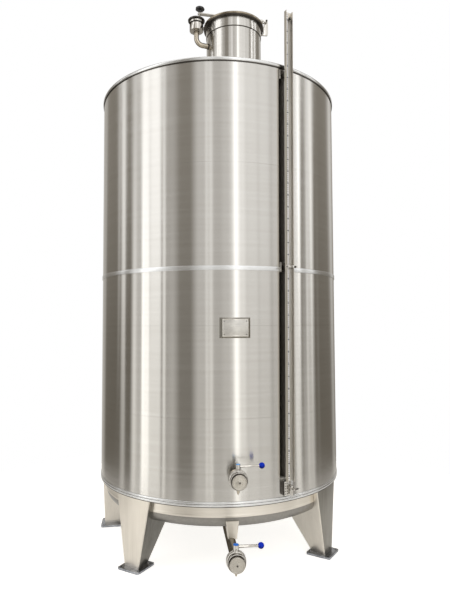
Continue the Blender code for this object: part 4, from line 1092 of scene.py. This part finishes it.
plate = material_nodes("label_blank_plate")
grain = plate.noise((8.0, 300.0, 300.0), 3.0, 0.7)
blotch = plate.noise((26.0, 26.0, 40.0), 2.0, 0.5)
plate.set(
    Base_Color=plate.mix(plate.spread(blotch, 0.0, 1.0), (0.52, 0.51, 0.49), (0.66, 0.65, 0.62)),
    Metallic=1.0, Roughness=plate.spread(grain, 0.26, 0.36), Normal=plate.bump(grain, 0.00002, 0.6),
)
half_width, half_tall = PLATE_WIDTH / 2, PLATE_TALL / 2
front = back + LABEL_DEPTH + GAP
label = Piece("label_plate_blank", "label_metal", "label_plate").block(
    (-half_width, -front - PLATE_THICKNESS, LABEL_HEIGHT - half_tall), (half_width, -front, LABEL_HEIGHT + half_tall),
    plate.owner, TANK, 0.0005,
)
for low_x, low_z, high_x, high_z in (
    (-half_width, -half_tall, half_width, -half_tall + PLATE_EDGE),
    (-half_width, half_tall - PLATE_EDGE, half_width, half_tall),
    (-half_width, -half_tall + PLATE_EDGE, -half_width + PLATE_EDGE, half_tall - PLATE_EDGE),
    (half_width - PLATE_EDGE, -half_tall + PLATE_EDGE, half_width, half_tall - PLATE_EDGE),
):
    label.block(
        (low_x, -front - 0.0018, LABEL_HEIGHT + low_z), (high_x, -front - 0.0010, LABEL_HEIGHT + high_z),
        bright_steel, TANK, 0.0003,
    )
screw_x, screw_z = half_width - PLATE_SCREW_INSET, half_tall - PLATE_SCREW_INSET
for x in (-screw_x, screw_x):
    for z in (-screw_z, screw_z):
        label.screw(x, LABEL_HEIGHT + z, front + PLATE_THICKNESS, 0.0026, TANK, dark_steel)
label.done()


# ------------ outlet valves
def valve(name, azimuth, height, start, face, hub_radius, rod_radius, cap_material):
    """An outlet with its weld, union, valve body, slotted nut, end cap and handle."""
    line = TANK @ turned(azimuth) @ moved(0.0, 0.0, height)
    ahead = line @ FORWARDS
    cap_back = face - CAP_DEPTH
    nut_back = cap_back - NUT_DEPTH
    body_back = nut_back - BODY_DEPTH
    up = line @ moved(0.0, -(body_back + nut_back) / 2, 0.0)

    pipe = Piece(name + "_pipe_with_union", POLISHED, name + "_outlet_pipe")
    end = body_back - GAP
    pipe.lathe(
        [(0.0, start), (OUTLET_RADIUS, start), (OUTLET_RADIUS, end - 0.012), (UNION_RADIUS, end - 0.012, 0.003),
         (UNION_RADIUS, end, 0.002), (0.0, end)],
        satin_steel, ahead, VALVE_STEPS,
    )
    pipe.lathe(
        [(OUTLET_RADIUS - 0.001, start), (OUTLET_RADIUS + 0.006, start, 0.003),
         (OUTLET_RADIUS + 0.001, start + 0.006, 0.003), (OUTLET_RADIUS - 0.001, start + 0.006)],
        gold_steel, ahead, VALVE_STEPS,
    )
    pipe.done(sharp=45)

    body = Piece(name + "_valve_shell", POLISHED, name + "_valve_body")
    front = nut_back - GAP
    body.lathe(
        [(0.0, body_back), (BODY_RADIUS - 0.004, body_back, 0.002), (BODY_RADIUS, body_back + 0.004, 0.003),
         (BODY_RADIUS, body_back + 0.012, 0.001), (BODY_RADIUS - 0.003, body_back + 0.013, 0.001),
         (BODY_RADIUS - 0.003, front - 0.011, 0.001), (BODY_RADIUS, front - 0.010, 0.001),
         (BODY_RADIUS, front - 0.004, 0.003), (BODY_RADIUS - 0.004, front, 0.002), (0.0, front)],
        bright_steel, ahead, VALVE_STEPS,
    )
    bonnet = hub_radius - 0.001
    body.lathe(
        [(0.0, 0.0), (bonnet, 0.0), (bonnet, BONNET_TOP - 0.004, 0.001), (bonnet - 0.0015, BONNET_TOP, 0.001),
         (0.0, BONNET_TOP)],
        bright_steel, up, 48,
    )
    body.lathe(
        [(0.0, -0.078), (0.003, -0.078, 0.001), (0.0095, -0.058, 0.004), (0.0095, -0.040), (0.0, -0.040)],
        gold_steel, up, 32,
    )
    for side in range(6):
        spot = ahead @ turned(30 + 60 * side) @ moved(BODY_RADIUS - 0.0095, 0.0)
        body.hexagon(0.008, front - 0.004, front + 0.002, dark_steel, spot, 0.0005)
    nut_low, nut_high = nut_back - 0.001, cap_back - GAP
    pitch = 360 / NUT_SLOTS
    ring = []
    for slot in range(NUT_SLOTS):
        ring += arc(0.0, 0.0, NUT_RADIUS, pitch * (slot - 0.30), pitch * (slot + 0.30), 5)
        ring += arc(0.0, 0.0, NUT_RADIUS - 0.010, pitch * (slot + 0.36), pitch * (slot + 0.64), 3)
    body.prism(ring, nut_low + 0.003, nut_high - 0.009, bright_steel, ahead, 0.0008)
    # Painted shade: a dark core inside the slotted ring shows in its slots and in the gap before the front ring
    body.lathe(washer(0.0, NUT_RADIUS - 0.007, nut_low, nut_high - 0.006), dark_steel, ahead, VALVE_STEPS)
    shadow = washer(CAP_RADIUS + 0.0004, CAP_RADIUS + 0.0038, nut_high - 0.001, nut_high + 0.0006)
    body.lathe(shadow, dark_steel, ahead, VALVE_STEPS)
    body.lathe(
        [(0.0, nut_high - 0.007), (NUT_RADIUS - 0.001, nut_high - 0.007, 0.001),
         (NUT_RADIUS - 0.001, nut_high - 0.002, 0.002), (NUT_RADIUS - 0.003, nut_high, 0.001), (0.0, nut_high)],
        bright_steel, ahead, VALVE_STEPS,
    )
    body.done(sharp=45)

    cap = Piece(name + "_end_disc", BRUSHED, name + "_end_cap")
    boss = 0.0055
    cap.lathe(
        [(0.0, face + 0.003), (boss, face + 0.003, 0.001), (boss, face - 0.0005, 0.0005),
         (CAP_RADIUS - 0.010, face - 0.001, 0.001), (CAP_RADIUS - 0.006, face, 0.001),
         (CAP_RADIUS - 0.003, face, 0.002), (CAP_RADIUS, face - 0.004, 0.003), (CAP_RADIUS, cap_back), (0.0, cap_back)],
        disc_steel, ahead, VALVE_STEPS,
    )
    cap.lathe(
        [(0.0, face + 0.0035), (boss - 0.001, face + 0.0035, 0.0005), (boss - 0.001, face + 0.002),
         (0.0, face + 0.002)],
        dark_steel, ahead, 32,
    )
    cap.done(sharp=45)

    handle = Piece(name + "_handle_rod", POLISHED, name + "_valve_handle", body=name + "_handle")
    hub = washer(0.0, hub_radius, BONNET_TOP + GAP, HUB_TOP - 0.004, 0.001, 0.001)
    handle.lathe(hub, bright_steel, up, 48)
    handle.lathe(
        [(0.0, HUB_TOP - 0.006), (hub_radius - 0.001, HUB_TOP - 0.006), (hub_radius - 0.001, HUB_TOP - 0.001, 0.001),
         (hub_radius - 0.004, HUB_TOP, 0.001), (0.0, HUB_TOP)],
        cap_material, up, 48,
    )
    ball_side = HANDLE_REACH - BALL_RADIUS
    stations = (0.0, ball_side * 0.5, ball_side - 0.012, ball_side - 0.010, ball_side - GAP)
    handle.bar(
        [(x, 0.0, ROD_HEIGHT) for x in stations], [rod_radius * share for share in (1.0, 0.92, 0.85, 1.0, 1.0)],
        bright_steel, up, 28,
    )
    handle.done(sharp=45)

    ball = Piece(name + "_ball_grip", "blue_plastic", name + "_handle_ball", body=name + "_handle")
    profile = [(0.0, BALL_RADIUS)] + arc(0.0, 0.0, BALL_RADIUS, 90, -70, 24)[1:]
    flat = profile[-1][1]
    reach = up @ moved(ball_side - flat, 0.0, ROD_HEIGHT) @ turned(90, "Y")
    ball.lathe(profile + [(0.0, flat)], blue, reach, 48).done(sharp=50)


valve("upper", 0.0, OUTLET_HEIGHT, TANK_RADIUS + GAP, OUTLET_FACE, 0.0115, 0.0060, pale_blue)
valve("lower", DRAIN_AZIMUTH, DRAIN_HEIGHT, SUMP_RADIUS + GAP, DRAIN_FACE, 0.0150, 0.0080, cap_blue)


# ------------ legs and drain bracket
def underside():
    """The space that the skirt and the dish fill, as a cutter."""
    below = dish_profile(GAP, 10)
    space = Piece("underside").lathe(
        [(0.0, RIM_BOTTOM + 0.05), (SKIRT_RADIUS + GAP, RIM_BOTTOM + 0.05), (SKIRT_RADIUS + GAP, SKIRT_BOTTOM - GAP),
         (DISH_RADIUS + GAP, SKIRT_BOTTOM - GAP)] + below + [(0.0, below[-1][1])],
        leg_steel, TANK, MANWAY_STEPS,
    )
    return space.tool()


def leg_outline(height, inset, fold):
    """A leg's section at a height, with its folds rounded."""
    share = (height - FOOT_THICKNESS) / (RIM_BOTTOM - FOOT_THICKNESS)
    corner = math.sqrt(TANK_RADIUS**2 - LEG_TOP_HALF**2)
    half = LEG_FOOT_HALF + share * (LEG_TOP_HALF - LEG_FOOT_HALF) - inset
    outer = LEG_FOOT_OUTER + share * (corner - LEG_FOOT_OUTER) - inset
    inner = LEG_FOOT_INNER + share * (LEG_TOP_INNER - LEG_FOOT_INNER) + inset
    inner_half = LEG_FOOT_INNER_HALF + share * (LEG_TOP_INNER_HALF - LEG_FOOT_INNER_HALF) - inset
    return fillet([
        (-inner_half, -inner, fold), (-half, -outer, fold), (0.0, -TANK_RADIUS + inset), (half, -outer, fold),
        (inner_half, -inner, fold),
    ], 4)


def leg(name, azimuth):
    """A folded leg, hollow, with a thin dark line of painted shade along its fold, and its foot plate with a weld and
    bolt holes.
    """
    place = TANK @ turned(azimuth)
    low, high = FOOT_THICKNESS - 0.001, RIM_BOTTOM - GAP
    sheet = Piece("leg_" + name + "_folded", BRUSHED, "leg_" + name).loft(
        leg_outline(low, 0.0, 0.007), leg_outline(high, 0.0, 0.007), low, high, leg_steel, place,
    )
    # Painted shade: a thin dark bar along the leg's fold
    fold = -TANK_RADIUS + 0.0004
    sheet.bar([(0.0, fold, FOOT_THICKNESS + 0.004), (0.0, fold, RIM_BOTTOM - 0.002)], 0.0009, leg_fold_shade_steel, place, 12)
    low, high = FOOT_THICKNESS + 0.002, RIM_BOTTOM + 0.02
    hollow = Piece("hollow").loft(
        leg_outline(low, LEG_SHEET, 0.003), leg_outline(high, LEG_SHEET, 0.003), low, high, leg_steel, place,
    )
    obj = sheet.done(sharp=30, cutters=[hollow.tool(), underside()])
    # Painted shade: on the legs in SHADED_LEGS, the large faces that look towards +X get the darker steel
    shaded = name in SHADED_LEGS
    reface(obj, leg_shade_steel, lambda face: shaded and face.normal.x > 0.35 and face.area > 0.004)

    foot_place = place @ moved(0.0, -FOOT_DISTANCE) @ turned(FOOT_TURNS.get(name, 0.0))
    half = FOOT_SIZE / 2
    corners = ((-half, -half), (half, -half), (half, half), (-half, half))
    outline = fillet([(*corner, FOOT_CORNER) for corner in corners], 6)
    foot = Piece("foot_" + name, POLISHED).prism(outline, 0.0, FOOT_THICKNESS, foot_steel, foot_place, 0.0012)
    low = FOOT_THICKNESS - 0.0005
    foot.loft(leg_outline(low, -0.008, 0.009), leg_outline(low, -0.003, 0.009), low, low + 0.007, weld_steel, place)
    through = washer(0.0, FOOT_HOLE_RADIUS, -0.01, 0.02)
    holes = [Piece("hole").lathe(through, dark_steel, foot_place @ moved(*spot), 24).tool() for spot in FOOT_HOLES]
    foot.done(sharp=30, cutters=holes)


for name, azimuth in LEG_AZIMUTHS.items():
    leg(name, azimuth)


def bracket_outline(half, back, front, fold):
    return fillet([(-half, -back, 0.0), (-half, -front, fold), (half, -front, fold), (half, -back, 0.0)], 4)


def support_shape(name, thinner, deeper, fold, taller, *slots):
    """The drain bracket's tapered form, or with a thickness taken off the room inside it."""
    return Piece(name, *slots).loft(
        bracket_outline(SUPPORT_BOTTOM_HALF - thinner, SUPPORT_BOTTOM_BACK - deeper, SUPPORT_FRONT - thinner, fold),
        bracket_outline(SUPPORT_TOP_HALF - thinner, SUPPORT_TOP_BACK - deeper, SUPPORT_FRONT - thinner, fold),
        SUPPORT_BOTTOM - taller, SUPPORT_TOP + taller, leg_steel, TANK @ turned(SUPPORT_AZIMUTH),
    )


support = support_shape("drain_bracket_folded", 0.0, 0.0, 0.004, 0.0, BRUSHED, "drain_support")
hollow = support_shape("hollow", SHEET, 0.2, 0.001, 0.001)
pipe_room = Piece("pipe_room").lathe(
    washer(0.0, OUTLET_RADIUS + GAP, 0.2, 1.2), leg_steel,
    TANK @ turned(DRAIN_AZIMUTH) @ moved(0.0, 0.0, DRAIN_HEIGHT) @ FORWARDS, VALVE_STEPS,
)
support.done(sharp=30, cutters=[hollow.tool(), pipe_room.tool(), underside()])

# ------------ camera
camera_data = bpy.data.cameras.new("camera")
camera = bpy.data.objects.new("camera", camera_data)
bpy.context.scene.collection.objects.link(camera)
camera.location = CAMERA_PLACE
camera.rotation_euler = [math.radians(angle) for angle in CAMERA_ANGLES]
camera_data.lens = CAMERA_LENS
camera_data.sensor_width = CAMERA_SENSOR
bpy.context.scene.camera = camera
bpy.context.scene.view_settings.view_transform = "Standard"


# ------------ studio
def pulse(azimuth, centre, half_width, soft):
    """A softbox's share at an azimuth: 1 on it, 0 past its soft edge."""
    away = abs((azimuth - centre + 180) % 360 - 180)
    share = min(max((half_width + soft - away) / soft, 0.0), 1.0)
    return share * share * (3 - 2 * share)


def studio(azimuth, high):
    """The studio's colour at an azimuth, near the floor or near the ceiling."""
    dim = STUDIO_HIGH if high else STUDIO_LOW
    boxes = sum(box[4 if high else 3] * pulse(azimuth, *box[:3]) for box in SOFTBOXES)
    return [dim * shade + boxes for shade in DIM_TINT]


sky = Nodes(bpy.data.worlds.new("studio"))
bpy.context.scene.world = sky.owner
sky.tree.nodes.clear()
axes = sky.axes(sky.add("ShaderNodeTexCoord").outputs["Generated"])
turn = sky.math("DIVIDE", sky.math("ARCTAN2", axes[0], sky.math("MULTIPLY", axes[1], -1.0)), 2 * math.pi)


def ramp(first, last, high):
    """The studio between two azimuths, as a ramp with a stop at each softbox's edges."""
    edges = {first, last}
    for centre, half_width, soft, *_ in SOFTBOXES:
        for edge in (-half_width - soft, -half_width, half_width, half_width + soft):
            edge = (centre + edge + 180) % 360 - 180
            if first < edge < last:
                edges.add(edge)
    edges = sorted(edges)
    while len(edges) > MAX_STOPS:
        gaps = [edges[index + 1] - edges[index - 1] for index in range(1, len(edges) - 1)]
        del edges[1 + gaps.index(min(gaps))]
    share = sky.math("DIVIDE", sky.math("SUBTRACT", turn, first / 360), (last - first) / 360)
    made = sky.add("ShaderNodeValToRGB", share)
    stops = made.color_ramp.elements
    while len(stops) < len(edges):
        stops.new(0.5)
    for stop, edge in zip(stops, edges):
        stop.position = (edge - first) / (last - first)
        stop.color = (*(shade / ROOM_STRENGTH for shade in studio(edge, high)), 1.0)
    return made.outputs[0]


def ring(high):
    """The studio all the way round, from four ramps."""
    left = sky.mix(sky.math("GREATER_THAN", turn, -0.25), ramp(-180.0, -90.0, high), ramp(-90.0, 0.0, high))
    right = sky.mix(sky.math("GREATER_THAN", turn, 0.25), ramp(0.0, 90.0, high), ramp(90.0, 180.0, high))
    return sky.mix(sky.math("GREATER_THAN", turn, 0.0), left, right)


rise = sky.add("ShaderNodeMapRange", axes[2], LOW_LEVEL, HIGH_LEVEL, interpolation_type="SMOOTHSTEP").outputs["Result"]
tint = sky.add("ShaderNodeValToRGB", sky.math("MULTIPLY_ADD", axes[2], 0.5, 0.5))
for stop, (position, colour) in zip(tint.color_ramp.elements, TINT_STOPS):
    stop.position = position
    stop.color = colour
coloured = sky.mix(1.0, sky.mix(rise, ring(False), ring(True)), tint.outputs[0], blend_type="MULTIPLY")
past = sky.math("MAXIMUM", sky.math("SUBTRACT", axes[2], OVERHEAD_START), 0.0)
strength = sky.math("ADD", sky.math("MULTIPLY", past, OVERHEAD_STRENGTH), ROOM_STRENGTH)
room = sky.add("ShaderNodeBackground", coloured, strength)
white = sky.add("ShaderNodeBackground", (1.0, 1.0, 1.0), 1.0)
seen_by_camera = sky.add("ShaderNodeLightPath").outputs["Is Camera Ray"]
seen = sky.add("ShaderNodeMixShader", seen_by_camera, room.outputs[0], white.outputs[0])
sky.add("ShaderNodeOutputWorld", seen.outputs[0])

# A plain pale floor round the tank, which fades into the white
floor_mesh = bpy.data.meshes.new("floor")
shape = bmesh.new()
bmesh.ops.create_circle(shape, cap_ends=True, segments=ROUND_STEPS, radius=FLOOR_RADIUS)
shape.transform(TANK)
shape.to_mesh(floor_mesh)
shape.free()
floor = bpy.data.objects.new("floor", floor_mesh)
floor.location.z = -FLOOR_DROP
bpy.context.scene.collection.objects.link(floor)
floor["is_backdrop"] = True
pale = material_nodes("pale_floor")
seen_by_camera = pale.add("ShaderNodeLightPath").outputs["Is Camera Ray"]
pale.set(
    Base_Color=(0.80, 0.79, 0.77), Roughness=0.7, Emission_Color=(1.0, 0.99, 0.97),
    Emission_Strength=pale.math(
        "MULTIPLY_ADD", seen_by_camera, FLOOR_GLOW - FLOOR_GLOW_REFLECTED, FLOOR_GLOW_REFLECTED,
    ),
)
far = pale.add("ShaderNodeVectorMath", pale.coordinates(), (0.0, AXIS_Y, 0.0), operation="DISTANCE")
fade = pale.spread(far.outputs["Value"], 0.0, 1.0, FLOOR_FADE_START, FLOOR_RADIUS - 0.1)
nothing = pale.add("ShaderNodeBsdfTransparent").outputs[0]
faded = pale.add("ShaderNodeMixShader", fade, pale.shader.outputs[0], nothing)
pale.feed(pale.tree.nodes["Material Output"].inputs["Surface"], faded.outputs[0])
floor_mesh.materials.append(pale.owner)

low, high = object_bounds()
